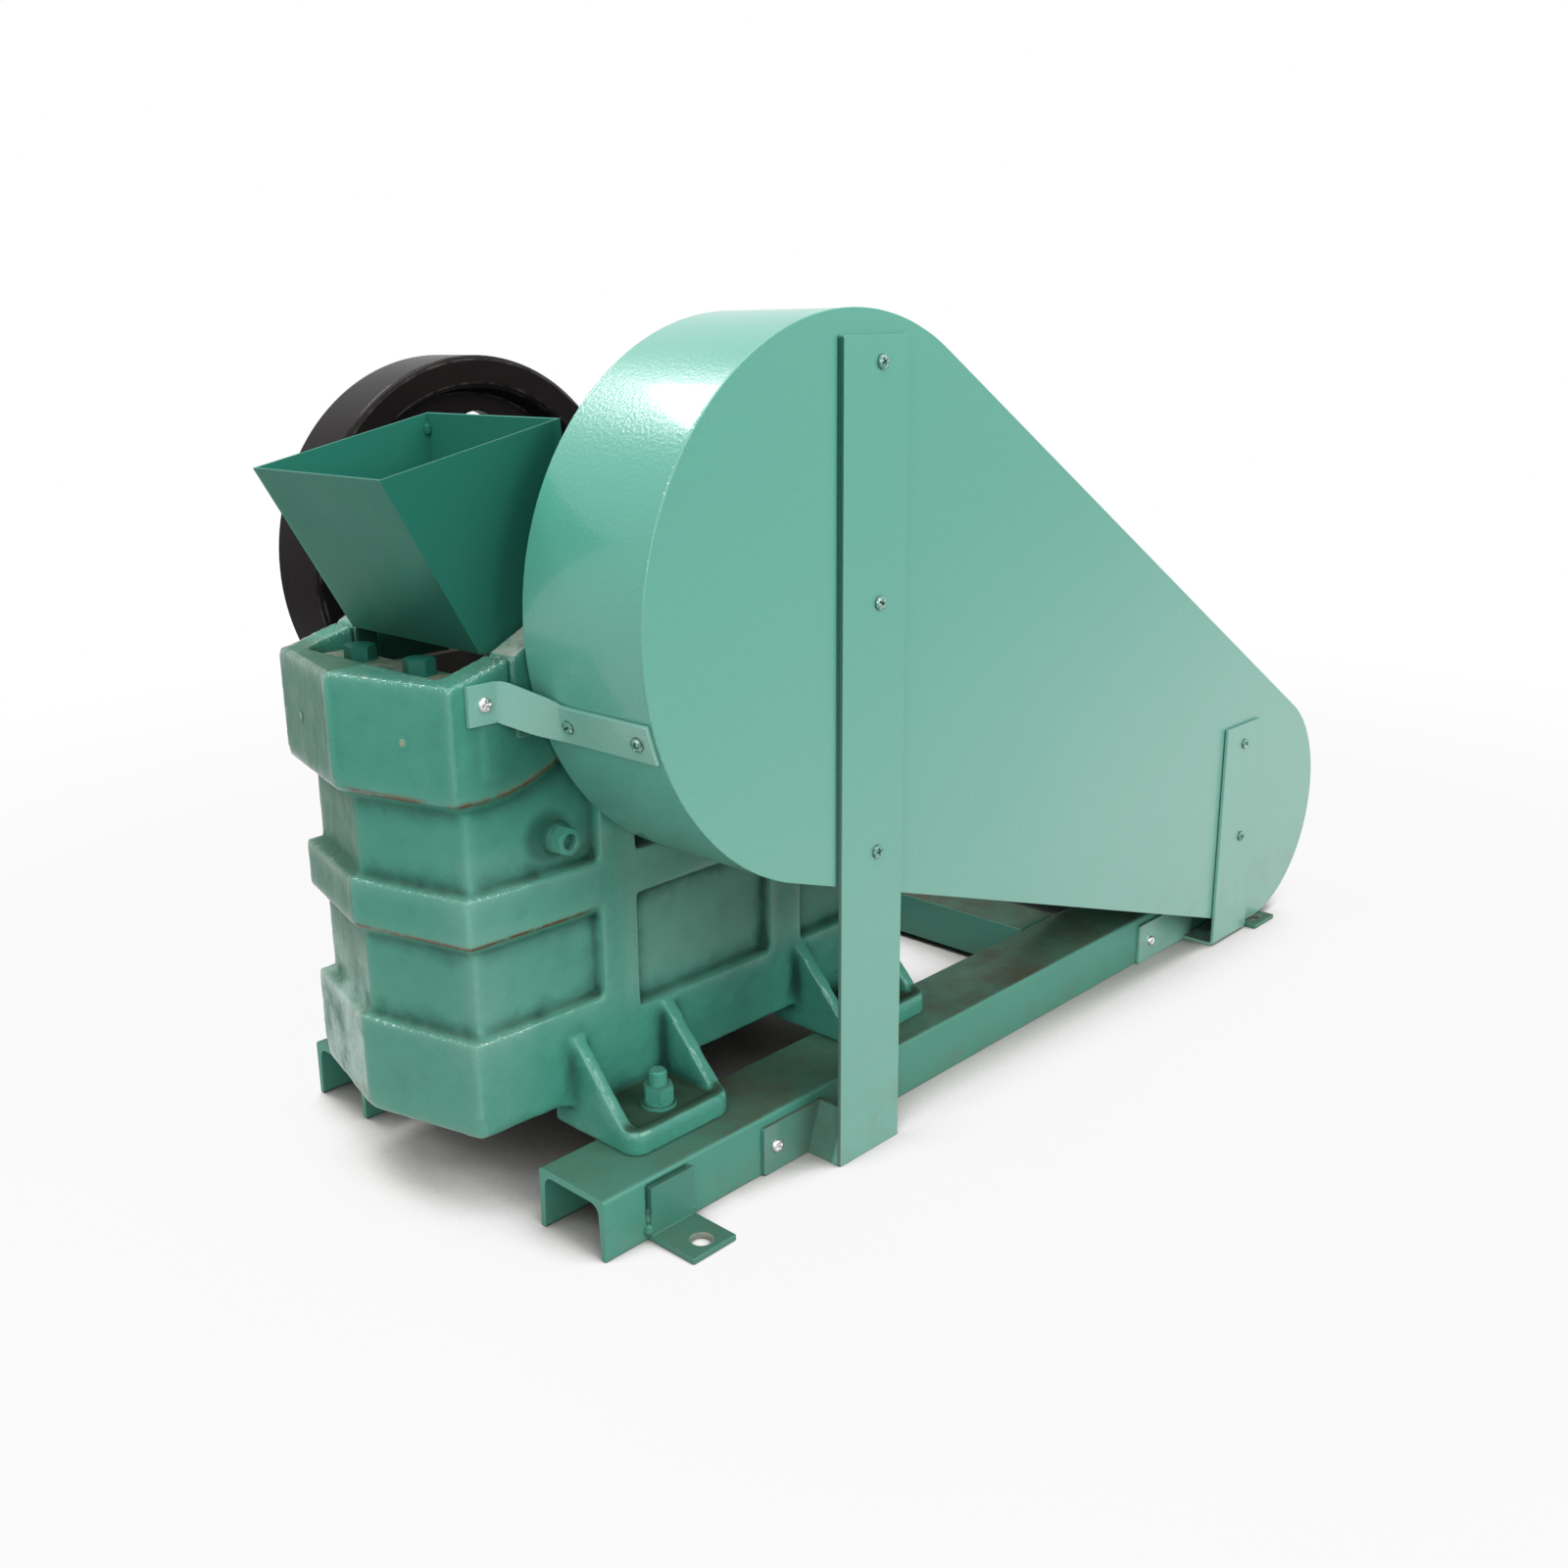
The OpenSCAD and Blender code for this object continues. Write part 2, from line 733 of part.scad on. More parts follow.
// Turns a drawing about the shaft axis: radius along X, machine Y along Y
module on_shaft() {
    translate([shaft_x, 0, shaft_z]) rotate([-90, 0, 0]) rotate_extrude() children();
}

// Shaft with the eccentric journal, which hangs at its lowest
module eccentric_shaft() {
    y0 = shaft_near_y;
    y1 = wheel_near_y + wheel_w + shaft_tail;
    small = shaft_r - shaft_edge;
    color(steel) union() {
        on_shaft() polygon([
            [0, y0], [small, y0], [shaft_r, y0 + shaft_edge],
            [shaft_r, y1 - shaft_edge], [small, y1], [0, y1]
        ]);
        translate([shaft_x, body_y - pitman_half + journal_in, shaft_z - throw]) rotate([-90, 0, 0])
            cylinder(r = journal_r, h = 2 * (pitman_half - journal_in));
    }
}

// Flywheel: rim, web with round windows, hub
module flywheel() {
    y0 = wheel_near_y;
    y1 = y0 + wheel_w;
    web0 = (y0 + y1 - wheel_web) / 2;
    web1 = web0 + wheel_web;
    rim = wheel_r - wheel_rim;
    e = wheel_edge;
    hub0 = y0 - wheel_hub_out;
    bore = shaft_r + run_gap;
    color(black) difference() {
        on_shaft() polygon([
            [bore, hub0], [wheel_hub_r - e, hub0], [wheel_hub_r, hub0 + e], [wheel_hub_r + taper, web0],
            [rim - taper, web0], [rim, y0 + e], [rim + e, y0], [wheel_r - e, y0], [wheel_r, y0 + e],
            [wheel_r, y1 - e], [wheel_r - e, y1], [rim + e, y1], [rim, y1 - e], [rim - taper, web1],
            [wheel_hub_r + taper, web1], [wheel_hub_r, y1], [bore, y1]
        ]);
        for (i = [0 : 3])
            translate([shaft_x, hub0, shaft_z]) rotate([0, -wheel_window_turn - 90 * i, 0])
                translate([wheel_window_at, 0, 0]) rotate([-90, 0, 0])
                    cylinder(r = wheel_window_r, h = wheel_w + 2 * wheel_hub_out);
    }
}

// V grooves of a pulley for two belts, as points of its turned outline
function grooves(r) = [for (i = [-0.5, 0.5]) each [
    [r, pulley_mid_y + i * belt_pitch - belt_top / 2 - belt_side],
    [r - groove_depth, pulley_mid_y + i * belt_pitch - belt_low / 2 - belt_side],
    [r - groove_depth, pulley_mid_y + i * belt_pitch + belt_low / 2 + belt_side],
    [r, pulley_mid_y + i * belt_pitch + belt_top / 2 + belt_side]
]];

module driven_pulley() {
    y0 = pulley_mid_y - pulley_w / 2;
    y1 = pulley_mid_y + pulley_w / 2;
    bore = shaft_r + run_gap;
    rim = pulley_r - pulley_rim_t;
    color(black) difference() {
        on_shaft() polygon(concat(
            [
                [bore, y1], [bore, y0], [pulley_hub_r, y0], [pulley_hub_r + taper, pulley_mid_y - pulley_web],
                [rim - taper, pulley_mid_y - pulley_web], [rim, y0], [pulley_r, y0]
            ],
            grooves(pulley_r),
            [
                [pulley_r, y1], [rim, y1], [rim - taper, pulley_mid_y + pulley_web],
                [pulley_hub_r + taper, pulley_mid_y + pulley_web], [pulley_hub_r, y1]
            ]
        ));
        for (i = [0 : 3])
            translate([shaft_x, y0 - eps, shaft_z]) rotate([0, -45 - 90 * i, 0])
                translate([pulley_window_at, 0, 0]) rotate([-90, 0, 0])
                    cylinder(r = pulley_window_r, h = pulley_w + 2 * eps);
    }
}

// Section corners of a belt, out from its pulley's middle and across from the belt's own middle
function belt_corners(r) = [
    [r, -belt_top / 2], [r, belt_top / 2], [r - belt_h, belt_low / 2], [r - belt_h, -belt_low / 2]
];

// One V belt, a closed loop of sections round both pulleys, with straight runs between the arcs
module belt(y) {
    run = [motor_x - shaft_x, motor_z - shaft_z];
    base = atan2(run[1], run[0]);
    swing = acos((belt_r_big - belt_r_small) / norm(run));
    stations = concat(
        [for (i = [0 : belt_steps]) [0, base + swing + (360 - 2 * swing) * i / belt_steps]],
        [for (i = [0 : belt_steps]) [1, base - swing + 2 * swing * i / belt_steps]]
    );
    count = len(stations);
    points = [for (s = stations) for (c = belt_corners(s[0] == 0 ? belt_r_big : belt_r_small))
        [shaft_x + s[0] * run[0] + c[0] * cos(s[1]), y + c[1], shaft_z + s[0] * run[1] + c[0] * sin(s[1])]];
    polyhedron(points, [for (i = [0 : count - 1]) for (k = [0 : 3])
        let (j = (i + 1) % count) let (n = (k + 1) % 4) [4 * i + k, 4 * j + k, 4 * j + n, 4 * i + n]]);
}

module drive_belts() {
    color(rubber) for (i = [-0.5, 0.5]) belt(pulley_mid_y + i * belt_pitch);
}

// Turns a drawing about the motor's axis
module on_motor() {
    translate([motor_x, 0, motor_z]) rotate([-90, 0, 0]) rotate_extrude() children();
}

module motor_pulley() {
    y0 = pulley_mid_y - pulley_w / 2 + 2;
    y1 = pulley_mid_y + pulley_w / 2 - 2;
    color(black) on_motor() polygon(concat(
        [[0, y1], [0, y0], [motor_pulley_r, y0]], grooves(motor_pulley_r), [[motor_pulley_r, y1]]
    ));
}

// Motor: finned housing with end shields, feet, box seat and shaft
module motor_body() {
    y0 = motor_front_y;
    y1 = y0 + motor_len;
    barrel = motor_len - 2 * shield_t;
    shaft_y = pulley_mid_y + pulley_w / 2 - 2;
    color(green) union() {
        translate([motor_x, y0 + shield_t, motor_z]) rotate([-90, 0, 0]) difference() {
            cylinder(r = motor_r, h = barrel);
            for (i = [0 : motor_fins - 1])
                rotate([0, 0, (i + 0.5) * 360 / motor_fins])
                    translate([motor_r - fin_depth, -fin_gap / 2, -eps])
                        cube([2 * fin_depth, fin_gap, barrel + 2 * eps]);
        }
        on_motor() polygon([
            [0, y0 - shield_boss], [shield_boss_r - shield_boss, y0 - shield_boss], [shield_boss_r, y0],
            [motor_r - 12, y0 + shield_boss], [motor_r - fin_depth - 1, y0 + shield_t + shield_lap],
            [0, y0 + shield_t + shield_lap]
        ]);
        on_motor() polygon([
            [0, y1 - shield_t - shield_lap], [motor_r - fin_depth - 1, y1 - shield_t - shield_lap],
            [motor_r - fin_depth - 1, y1], [0, y1]
        ]);
        translate([motor_x, shaft_y, motor_z]) rotate([-90, 0, 0])
            cylinder(r = motor_shaft_r, h = y0 - shaft_y);
        translate([motor_x - box_seat / 2, y0 + box_at + (box_y - box_seat) / 2, motor_z])
            cube([box_seat, box_seat, motor_r + box_rise]);
        for (s = side_dir) translate([motor_x, y0 + motor_foot_in, motor_z - motor_h])
            translate([s * motor_foot_at - motor_foot_w / 2, 0, 0]) difference() {
                cube([motor_foot_w, motor_len - 2 * motor_foot_in, motor_foot_h]);
                translate([s > 0 ? motor_foot_rib : -eps, -eps, motor_foot_t])
                    cube([motor_foot_w - motor_foot_rib + eps, motor_len, motor_foot_h]);
            }
    }
}

module motor_fan_cover() {
    y0 = motor_front_y + motor_len;
    r = motor_r - 3;
    color(green) on_motor() polygon([
        [0, y0], [r, y0], [r, y0 + fan_len - fan_round], [r - fan_round, y0 + fan_len], [0, y0 + fan_len]
    ]);
}

module motor_terminal_box() {
    corner = [motor_x - box_x / 2, motor_front_y + box_at, motor_z + motor_r + box_rise];
    lid = [box_x + 2 * box_lip, box_y + 2 * box_lip, box_lid];
    color(green) translate(corner) union() {
        cube([box_x, box_y, box_h]);
        translate([-box_lip, -box_lip, box_h]) cube(lid);
    }
}

module guard_face() {
    color(green) across(guard_y, guard_y + guard_t) teardrop(0);
}

// Guard rim: one bent sheet round the face, cut back where the near rail and motor plate run through
module guard_rim() {
    plate_y = rail_near_y + plate_in - 2 * rim_cut_gap;
    color(green) difference() {
        across(guard_y + guard_t, guard_y + guard_depth) difference() {
            teardrop(0);
            teardrop(guard_t);
        }
        translate([rim_cut_x[0], guard_y + rim_cut_in, -eps])
            cube([rim_cut_x[1] - rim_cut_x[0], guard_depth, rail_h + rim_cut_gap + eps]);
        translate([motor_x - plate_half - rim_cut_gap, plate_y, rail_h])
            cube([2 * (plate_half + rim_cut_gap), far, motor_plate_t + rim_cut_gap]);
    }
}

// Strip up the guard's face down to the ground
module leg_strap(x0, top) {
    translate([x0, guard_y - leg_t, 0]) cube([leg_w, leg_t, top]);
}

// Front leg: the strip, a leaning web back to the rail and a flange on the rail
module guard_leg_front() {
    x0 = leg_front_x;
    foot = x0 + leg_t;
    color(green) union() {
        leg_strap(x0, leg_front_top);
        across(guard_y - 1, rail_near_y - 1) polygon([
            [x0, 0], [foot, 0], [foot + web_lean, flange_h], [x0 + web_lean, flange_h]
        ]);
        across(rail_near_y - leg_t, rail_near_y) polygon([
            [flange_front_x, 0], [foot, 0], [foot + web_lean, flange_h], [flange_front_x, flange_h]
        ]);
    }
}

// Rear leg: the strip, a foot on the ground under the guard and a flange on the rail
module guard_leg_rear() {
    color(green) union() {
        leg_strap(leg_rear_x, leg_rear_top);
        translate([leg_rear_x, guard_y - leg_t, 0]) cube([leg_w, leg_t + anchor_out, leg_t]);
        translate([flange_rear_x, rail_near_y - leg_t, 0]) cube([flange_rear_w, leg_t, flange_h]);
    }
}

// Brace: flat bar from the casting's top band to the guard rim
module guard_brace() {
    lean = atan((body_half - front_half) / (corner_ahead + shoulder));
    rim_mid = guard_r_big + brace_t / 2 + seat / 2;
    rim_x = shaft_x - rim_mid * cos(brace_tilt);
    rim_z = shaft_z + rim_mid * sin(brace_tilt);
    along_side = corner_ahead + top_band_nose - (shaft_x - brace_x);
    band_y = body_y - front_half - top_band_extra - along_side * tan(lean);
    flange_y = band_y - seat - brace_t / 2;
    thin = brace_t - seat;
    color(green) union() {
        translate([brace_x, flange_y, brace_z]) rotate([0, 0, -lean])
            translate([-brace_flange, -brace_t / 2, -brace_w / 2]) cube([brace_flange, brace_t, brace_w]);
        hull() {
            translate([brace_x - 2, flange_y, brace_z]) cube([2, thin, brace_w - seat], center = true);
            translate([rim_x, flange_y - brace_step, rim_z]) rotate([0, brace_tilt, 0])
                cube([thin, 2, brace_w - seat], center = true);
        }
        translate([rim_x, guard_y + brace_edge, rim_z]) rotate([0, brace_tilt, 0])
            translate([-brace_t / 2, 0, -brace_w / 2])
                cube([brace_t, flange_y - brace_step + brace_lap - guard_y - brace_edge, brace_w]);
    }
}

base_rail_near();
base_rail_far();
anchor_tab_front_near();
anchor_tab_front_far();
anchor_tab_rear_near();
anchor_tab_rear_far();
cross_angle();
motor_plate();
crusher_body();
foot_bolts();
bearing_housing_near();
bearing_housing_far();
bearing_near();
bearing_far();
bearing_cover_near();
bearing_cover_far();
fixed_jaw_plate();
jaw_clamp_bar();
cheek_plate_near();
cheek_plate_far();
swing_jaw();
swing_jaw_plate();
toggle_plate();
toggle_block();
tension_rod();
tension_spring();
hopper();
eccentric_shaft();
flywheel();
driven_pulley();
drive_belts();
motor_pulley();
motor_body();
motor_fan_cover();
motor_terminal_box();
guard_face();
guard_rim();
guard_leg_front();
guard_leg_rear();
guard_brace();
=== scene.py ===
import json
import math

import bmesh
import bpy
import numpy as np
from math import radians
from mathutils import Matrix, Vector, noise


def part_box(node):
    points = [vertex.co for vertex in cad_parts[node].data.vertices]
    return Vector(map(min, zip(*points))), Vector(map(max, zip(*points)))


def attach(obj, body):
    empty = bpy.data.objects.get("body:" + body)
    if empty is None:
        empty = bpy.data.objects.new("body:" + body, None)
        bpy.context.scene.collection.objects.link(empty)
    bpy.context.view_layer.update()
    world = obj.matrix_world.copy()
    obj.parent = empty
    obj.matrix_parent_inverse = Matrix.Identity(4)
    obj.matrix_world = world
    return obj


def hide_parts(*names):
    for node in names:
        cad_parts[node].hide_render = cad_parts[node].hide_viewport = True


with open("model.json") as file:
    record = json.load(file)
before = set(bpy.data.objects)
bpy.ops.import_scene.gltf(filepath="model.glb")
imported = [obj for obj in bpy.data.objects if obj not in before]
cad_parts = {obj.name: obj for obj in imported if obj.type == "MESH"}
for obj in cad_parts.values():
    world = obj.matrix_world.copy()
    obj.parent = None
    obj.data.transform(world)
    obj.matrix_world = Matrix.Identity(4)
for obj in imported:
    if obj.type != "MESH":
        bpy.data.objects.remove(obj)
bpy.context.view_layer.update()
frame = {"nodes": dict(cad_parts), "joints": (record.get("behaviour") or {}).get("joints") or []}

# Sizes are in metres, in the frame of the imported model. Most places come from its nodes and its shaft.
MM = 0.001
SHAFT = Vector(frame["joints"][0]["pos_m"])
UP = Vector((0, 0, 1))
ALONG, ACROSS, NEAR = Vector((1, 0, 0)), Vector((0, 1, 0)), Vector((0, -1, 0))

CASTING_HALF = 95.5 * MM
CASTING_SHOULDER = SHAFT.x - 0.125
PANEL_DEPTH = 8 * MM
TOP_BAND_LOW, MID_BAND_LOW = 0.288, 0.195
SWEEP_START, SWEEP_RADIUS = SHAFT.x - 0.215, 0.120
FOOT_TOP = 57 * MM
STRAP_LEFT = SHAFT.x - 15 * MM
SHEET, STRAP_GAP = 3 * MM, 0.9 * MM
BRACE_TILT, BRACE_REACH, BRACE_HEIGHT = radians(18.5), 0.1816, 0.3475
ROOM_LEVEL = 0.44
FLOOR_WHITE = 0.90


# Shader values and finishes


class Val:
    """A value on a shader socket. Arithmetic on it adds Math nodes."""

    def __init__(self, finish, socket):
        self.finish, self.socket = finish, socket

    def math(self, operation, *terms):
        return self.finish.node("Math", {"operation": operation}, dict(enumerate(terms)))

    def __add__(self, other):
        return self.math("ADD", self, other)

    __radd__ = __add__

    def __sub__(self, other):
        return self.math("SUBTRACT", self, other)

    def __rsub__(self, other):
        return self.math("SUBTRACT", other, self)

    def __mul__(self, other):
        return self.math("MULTIPLY", self, other)

    __rmul__ = __mul__

    def __abs__(self):
        return self.math("ABSOLUTE", self)

    def most(self, other):
        return self.math("MAXIMUM", self, other)

    def step(self, low, high):
        """0 below low, 1 above high, smooth between; low above high turns it round."""
        flip = low > high
        low, high = min(low, high), max(low, high)
        ends = {3: 1.0 if flip else 0.0, 4: 0.0 if flip else 1.0}
        settings = {"interpolation_type": "SMOOTHSTEP"}
        return self.finish.node("MapRange", settings, {0: self, 1: low, 2: high, **ends})

    def line(self, middle, half):
        """1 on the value middle, fading to 0 at half to either side."""
        return abs(self - middle).step(half, 0.0)


class Finish:
    """A material, or the world, and the nodes that make it."""

    def __init__(self, name, owners=None):
        self.material = (bpy.data.materials if owners is None else owners).new(name)
        self.material.use_nodes = True
        self.tree = self.material.node_tree
        self.tree.nodes.clear()
        self._place = None

    def node(self, kind, settings=None, sockets=None, out=0):
        made = self.tree.nodes.new("ShaderNode" + kind)
        for name, value in (settings or {}).items():
            setattr(made, name, value)
        for key, value in (sockets or {}).items():
            if isinstance(value, Val):
                self.tree.links.new(value.socket, made.inputs[key])
            elif hasattr(value, "__len__"):
                count = len(made.inputs[key].default_value)
                made.inputs[key].default_value = (*value, 1.0)[:count]
            else:
                made.inputs[key].default_value = value
        return Val(self, made.outputs[out]) if made.outputs else None

    def place(self):
        if self._place is None:
            self._place = self.node("TexCoord", out=3)
        return self._place

    def axis(self, which):
        return self.node("SeparateXYZ", sockets={0: self.place()}, out="XYZ".index(which))

    def facing(self, which):
        normal = self.node("NewGeometry", out=1)
        return self.node("SeparateXYZ", sockets={0: normal}, out="XYZ".index(which))

    def mark(self, name):
        """A value that a piece's mesh carries, such as edge or nook; 0 where it has none."""
        return self.node("Attribute", {"attribute_name": name}, out=2)

    def stretched(self, x, y, z, shift=0.0):
        moved = self.node("VectorMath", {"operation": "MULTIPLY"}, {0: self.place(), 1: (x, y, z)})
        return self.node("VectorMath", {"operation": "ADD"}, {0: moved, 1: (shift, shift, shift)})

    def cloud(self, per_metre, detail=3.0, rough=0.55, place=None):
        sockets = {"Vector": place or self.place(), "Scale": per_metre, "Detail": detail, "Roughness": rough}
        return self.node("TexNoise", sockets=sockets)

    def mix(self, share, first, second):
        return self.node("Mix", {"data_type": "RGBA"}, {0: share, 6: first, 7: second}, out=2)

    def bump(self, height, depth, strength=1.0, under=None):
        sockets = {"Height": height, "Distance": depth, "Strength": strength}
        if under:
            sockets["Normal"] = under
        return self.node("Bump", sockets=sockets)

    def surface(self, **sockets):
        """Ends the material in a Principled shader; names are its sockets with _ for spaces."""
        named = {key.replace("_", " "): value for key, value in sockets.items()}
        shader = self.node("BsdfPrincipled", sockets=named)
        return self.end(shader)

    def end(self, shader):
        self.node("OutputMaterial", sockets={"Surface": shader})
        return self.material


DUST = (0.150, 0.130, 0.088)
PALE_DUST = (0.37, 0.42, 0.36)
# Painted shade for nooks and inner corners.
NOOK_SHADE = (0.010, 0.030, 0.020)


def guard_paint(name="guard_paint", extra_sheen=0.0):
    """Gloss sea green on sheet: orange peel, a soft wave, a painted shadow by the strap, painted shade in nooks
    and on the leg's fold, a painted sheen low down, edges painted bright as highlights.
    """
    f = Finish(name)
    x, y, z = (f.axis(a) for a in "XYZ")
    edge = f.mark("edge")
    nicks_and_painted_glints = f.cloud(260, 2.0).step(0.62, 0.74) * edge
    scuffs = f.cloud(34, 6.0, 0.72, f.stretched(1.0, 1.0, 0.35)).step(0.70, 0.80)
    low_dust = z.step(0.13, 0.0) * f.cloud(45, 5.0, 0.65).step(0.42, 0.72)
    floor_dust = f.facing("Z").step(0.6, 0.95) * z.step(0.30, 0.02)
    # Painted shadow: a dark line on the strap's left side face and in the gap beside it.
    strap_shadow = x.step(STRAP_LEFT - 3.0 * MM, STRAP_LEFT - 0.8 * MM)
    strap_shadow = strap_shadow * x.step(STRAP_LEFT + 0.4 * MM, STRAP_LEFT + 0.1 * MM)
    strap_shadow = strap_shadow * y.step(-0.1915, -0.1935) * z.step(0.556, 0.552)
    colour = f.mix(f.cloud(3.0, 2.0), (0.070, 0.318, 0.240), (0.084, 0.348, 0.266))
    colour = f.mix(scuffs * 0.16, colour, (0.30, 0.52, 0.46))
    # Painted highlight: paler edges, and pale chips along them that grow much paler above z 0.46, where the rim's
    # highlight lies.
    colour = f.mix(edge * 0.12, colour, (0.20, 0.46, 0.38))
    colour = f.mix(nicks_and_painted_glints * (0.25 + z.step(0.44, 0.48) * 0.6), colour, (0.66, 0.72, 0.69))
    # Painted shade in the nooks.
    colour = f.mix(f.mark("nook") * 0.85, colour, NOOK_SHADE)
    colour = f.mix(strap_shadow * 0.9, colour, (0.010, 0.068, 0.048))
    # Painted sheen: a pale wash, heavier low down and to the right, plus the extra amount the second argument
    # asks for.
    painted_sheen = z.step(0.50, 0.14) * (0.60 + x.step(-0.30, 0.32) * 0.40) * (0.85 + f.cloud(5.0, 3.0) * 0.3)
    colour = f.mix(painted_sheen * 0.20 + extra_sheen, colour, (0.62, 0.75, 0.70))
    # Painted shade on the front leg's web and flange under the guard.
    fold = y.step(-0.1920, -0.1890) * z.step(0.040, 0.036) * x.step(-0.20, -0.21)
    colour = f.mix(fold * 0.50, colour, (0.012, 0.070, 0.050))
    silt = fold * x.step(-0.262, -0.240) * f.cloud(40, 4.0).step(0.25, 0.6)
    colour = f.mix(silt * 0.40, colour, (0.075, 0.074, 0.048))
    colour = f.mix(low_dust * 0.22, colour, DUST)
    colour = f.mix(floor_dust * f.cloud(60, 4.0).step(0.20, 0.55) * 0.85, colour, (0.070, 0.078, 0.052))
    wave = f.bump(f.cloud(4.5, 1.0), 3.0 * MM, 0.35)
    peel = f.bump(f.cloud(420, 2.5), 0.30 * MM, 0.85, wave)
    rough = 0.25 + f.cloud(9.0, 4.0) * 0.08 + scuffs * 0.15 + floor_dust * 0.35
    return f.surface(Base_Color=colour, Roughness=rough, Normal=peel, Coat_Weight=0.40, Coat_Roughness=0.08)


def casting_paint():
    """Thick gloss on a sand casting: grainy skin, rust under the bands, dust where it can lie; painted shade in
    nooks, behind the guard, inside and on the far facets, a painted sheen and painted glints.
    """
    f = Finish("casting_paint")
    x, y, z = (f.axis(a) for a in "XYZ")
    edge, nook = f.mark("edge"), f.mark("nook")
    up = f.facing("Z")
    drift = f.cloud(16, 5.0, 0.6)
    fine = f.cloud(240, 3.0, 0.6)
    colour = f.mix(f.cloud(7.0, 4.0), (0.036, 0.222, 0.160), (0.058, 0.292, 0.215))
    colour = f.mix(fine.step(0.45, 0.75) * 0.16, colour, (0.080, 0.330, 0.250))
    # Paler edges: worn paint, and a painted highlight.
    colour = f.mix(edge * drift.step(0.36, 0.66) * 0.30, colour, (0.120, 0.390, 0.305))
    behind_guard = y.step(-0.055, -0.080) * x.step(-0.456, -0.420) * z.step(0.262, 0.300)
    far_front = y.step(casting_middle() - 1 * MM, casting_middle() + 2 * MM) * x.step(-0.435, -0.450)
    # Painted sheen: paler low on the near front and on the side panels, none on the far facets.
    painted_veil = 0.02 + z.step(0.33, 0.08) * x.step(-0.40, -0.44) * (1.0 - far_front) * 0.070
    side_panels = y.step(-0.050, -0.075) * z.step(0.255, 0.245) * z.step(0.100, 0.140)
    painted_veil = painted_veil + side_panels * (0.060 + x.step(-0.345, -0.325) * 0.095)
    colour = f.mix(painted_veil, colour, (0.50, 0.58, 0.54))
    # Painted shade on the top band's side, behind the guard.
    colour = f.mix(behind_guard * 0.70, colour, (0.016, 0.110, 0.078))
    # Painted glints: pale specks on the front's up-facing edges, standing in for highlights.
    nicks_and_painted_glints = edge * up.step(0.10, 0.45) * f.cloud(520, 2.0).step(0.54, 0.68) * x.step(-0.400, -0.425)
    colour = f.mix(nicks_and_painted_glints * 0.6, colour, (0.62, 0.76, 0.70))
    # Painted shade in the nooks, and a painted shadow to the left of the side nut.
    from_x, from_z = x + 0.3885, z - 0.250
    nut_shadow = (from_x * from_x + from_z * from_z).step(0.00046, 0.00012)
    nut_shadow = nut_shadow * y.step(-0.060, -0.072) * y.step(-0.0825, -0.0805)
    colour = f.mix((nook * 0.92).most(nut_shadow * 0.6), colour, (0.007, 0.042, 0.029))
    # Painted shade inside the feed opening and on the inner face of the far wall.
    past_bow = x.step(-0.4205, -0.4185)
    inside = past_bow * z.step(0.3445, 0.3425) * y.step(-0.0545, -0.0535) * y.step(0.0740, 0.0730)
    far_wall = past_bow * z.step(0.3720, 0.3680) * y.step(0.0838, 0.0832) * y.step(0.0700, 0.0780)
    inside = inside.most(far_wall * up.step(0.55, 0.30))
    colour = f.mix(inside * 0.86, colour, (0.006, 0.016, 0.012))
    swept = (x - SWEEP_START).most(0.0)
    rust = (z - swept * swept * 4.17).line(TOP_BAND_LOW - 1.0 * MM, 4.2 * MM)
    rust = rust.most(z.line(MID_BAND_LOW - 0.8 * MM, 2.8 * MM))
    rust = rust * x.step(CASTING_SHOULDER, CASTING_SHOULDER - 20 * MM)
    colour = f.mix(rust * f.cloud(26, 5.0, 0.7).step(0.36, 0.50), colour, (0.115, 0.054, 0.018))
    chalk = far_front * z.step(0.205, 0.110) * f.cloud(30, 5.0, 0.65).step(0.30, 0.66)
    # Painted shade on the bow's far facets.
    colour = f.mix(far_front * (0.58 + drift * 0.3), colour, (0.036, 0.118, 0.074))
    colour = f.mix(chalk * 0.90, colour, (0.40, 0.56, 0.51))
    lying = up.step(0.55, 0.92) * f.cloud(60, 5.0, 0.65).step(0.26, 0.66)
    pans = up.step(0.6, 0.95) * z.step(0.078, 0.062)
    colour = f.mix(lying * 0.20, colour, DUST)
    colour = f.mix(pans * (0.65 + drift * 0.35), colour, (0.027, 0.042, 0.026))
    colour = f.mix(lying * z.step(0.30, 0.345) * x.step(-0.421, -0.413) * 0.80, colour, PALE_DUST)
    grain = f.bump(f.cloud(85, 3.0, 0.6), 1.0 * MM, 0.45)
    grain = f.bump(f.cloud(430, 2.0) * (0.35 + edge * 0.65), 0.55 * MM, 0.9, grain)
    rough = 0.34 + f.cloud(30, 3.0) * 0.12 + lying * 0.25 + pans * 0.3 + nook * 0.2
    gloss = (0.03 + edge * 0.90) - (lying * 0.3).most(pans * 0.8).most(inside * 0.8)
    return f.surface(Base_Color=colour, Roughness=rough, Normal=grain, Specular_IOR_Level=0.14,
                     Coat_Weight=gloss, Coat_Roughness=0.09)


def dusty_clamp():
    """The clamp bar under its crust of ore dust, green showing through where bolts were turned."""
    f = Finish("dusty_clamp")
    crust = f.cloud(85, 6.0, 0.7).step(0.30, 0.62) * f.facing("Z").step(0.1, 0.8)
    colour = f.mix(f.cloud(20, 4.0), (0.020, 0.105, 0.072), (0.036, 0.160, 0.112))
    colour = f.mix(crust * 0.85, colour, (0.235, 0.235, 0.175))
    grain = f.bump(f.cloud(190, 4.0, 0.65), 1.0 * MM, 0.7)
    return f.surface(Base_Color=colour, Roughness=0.55 + crust * 0.3, Normal=grain, Specular_IOR_Level=0.3)


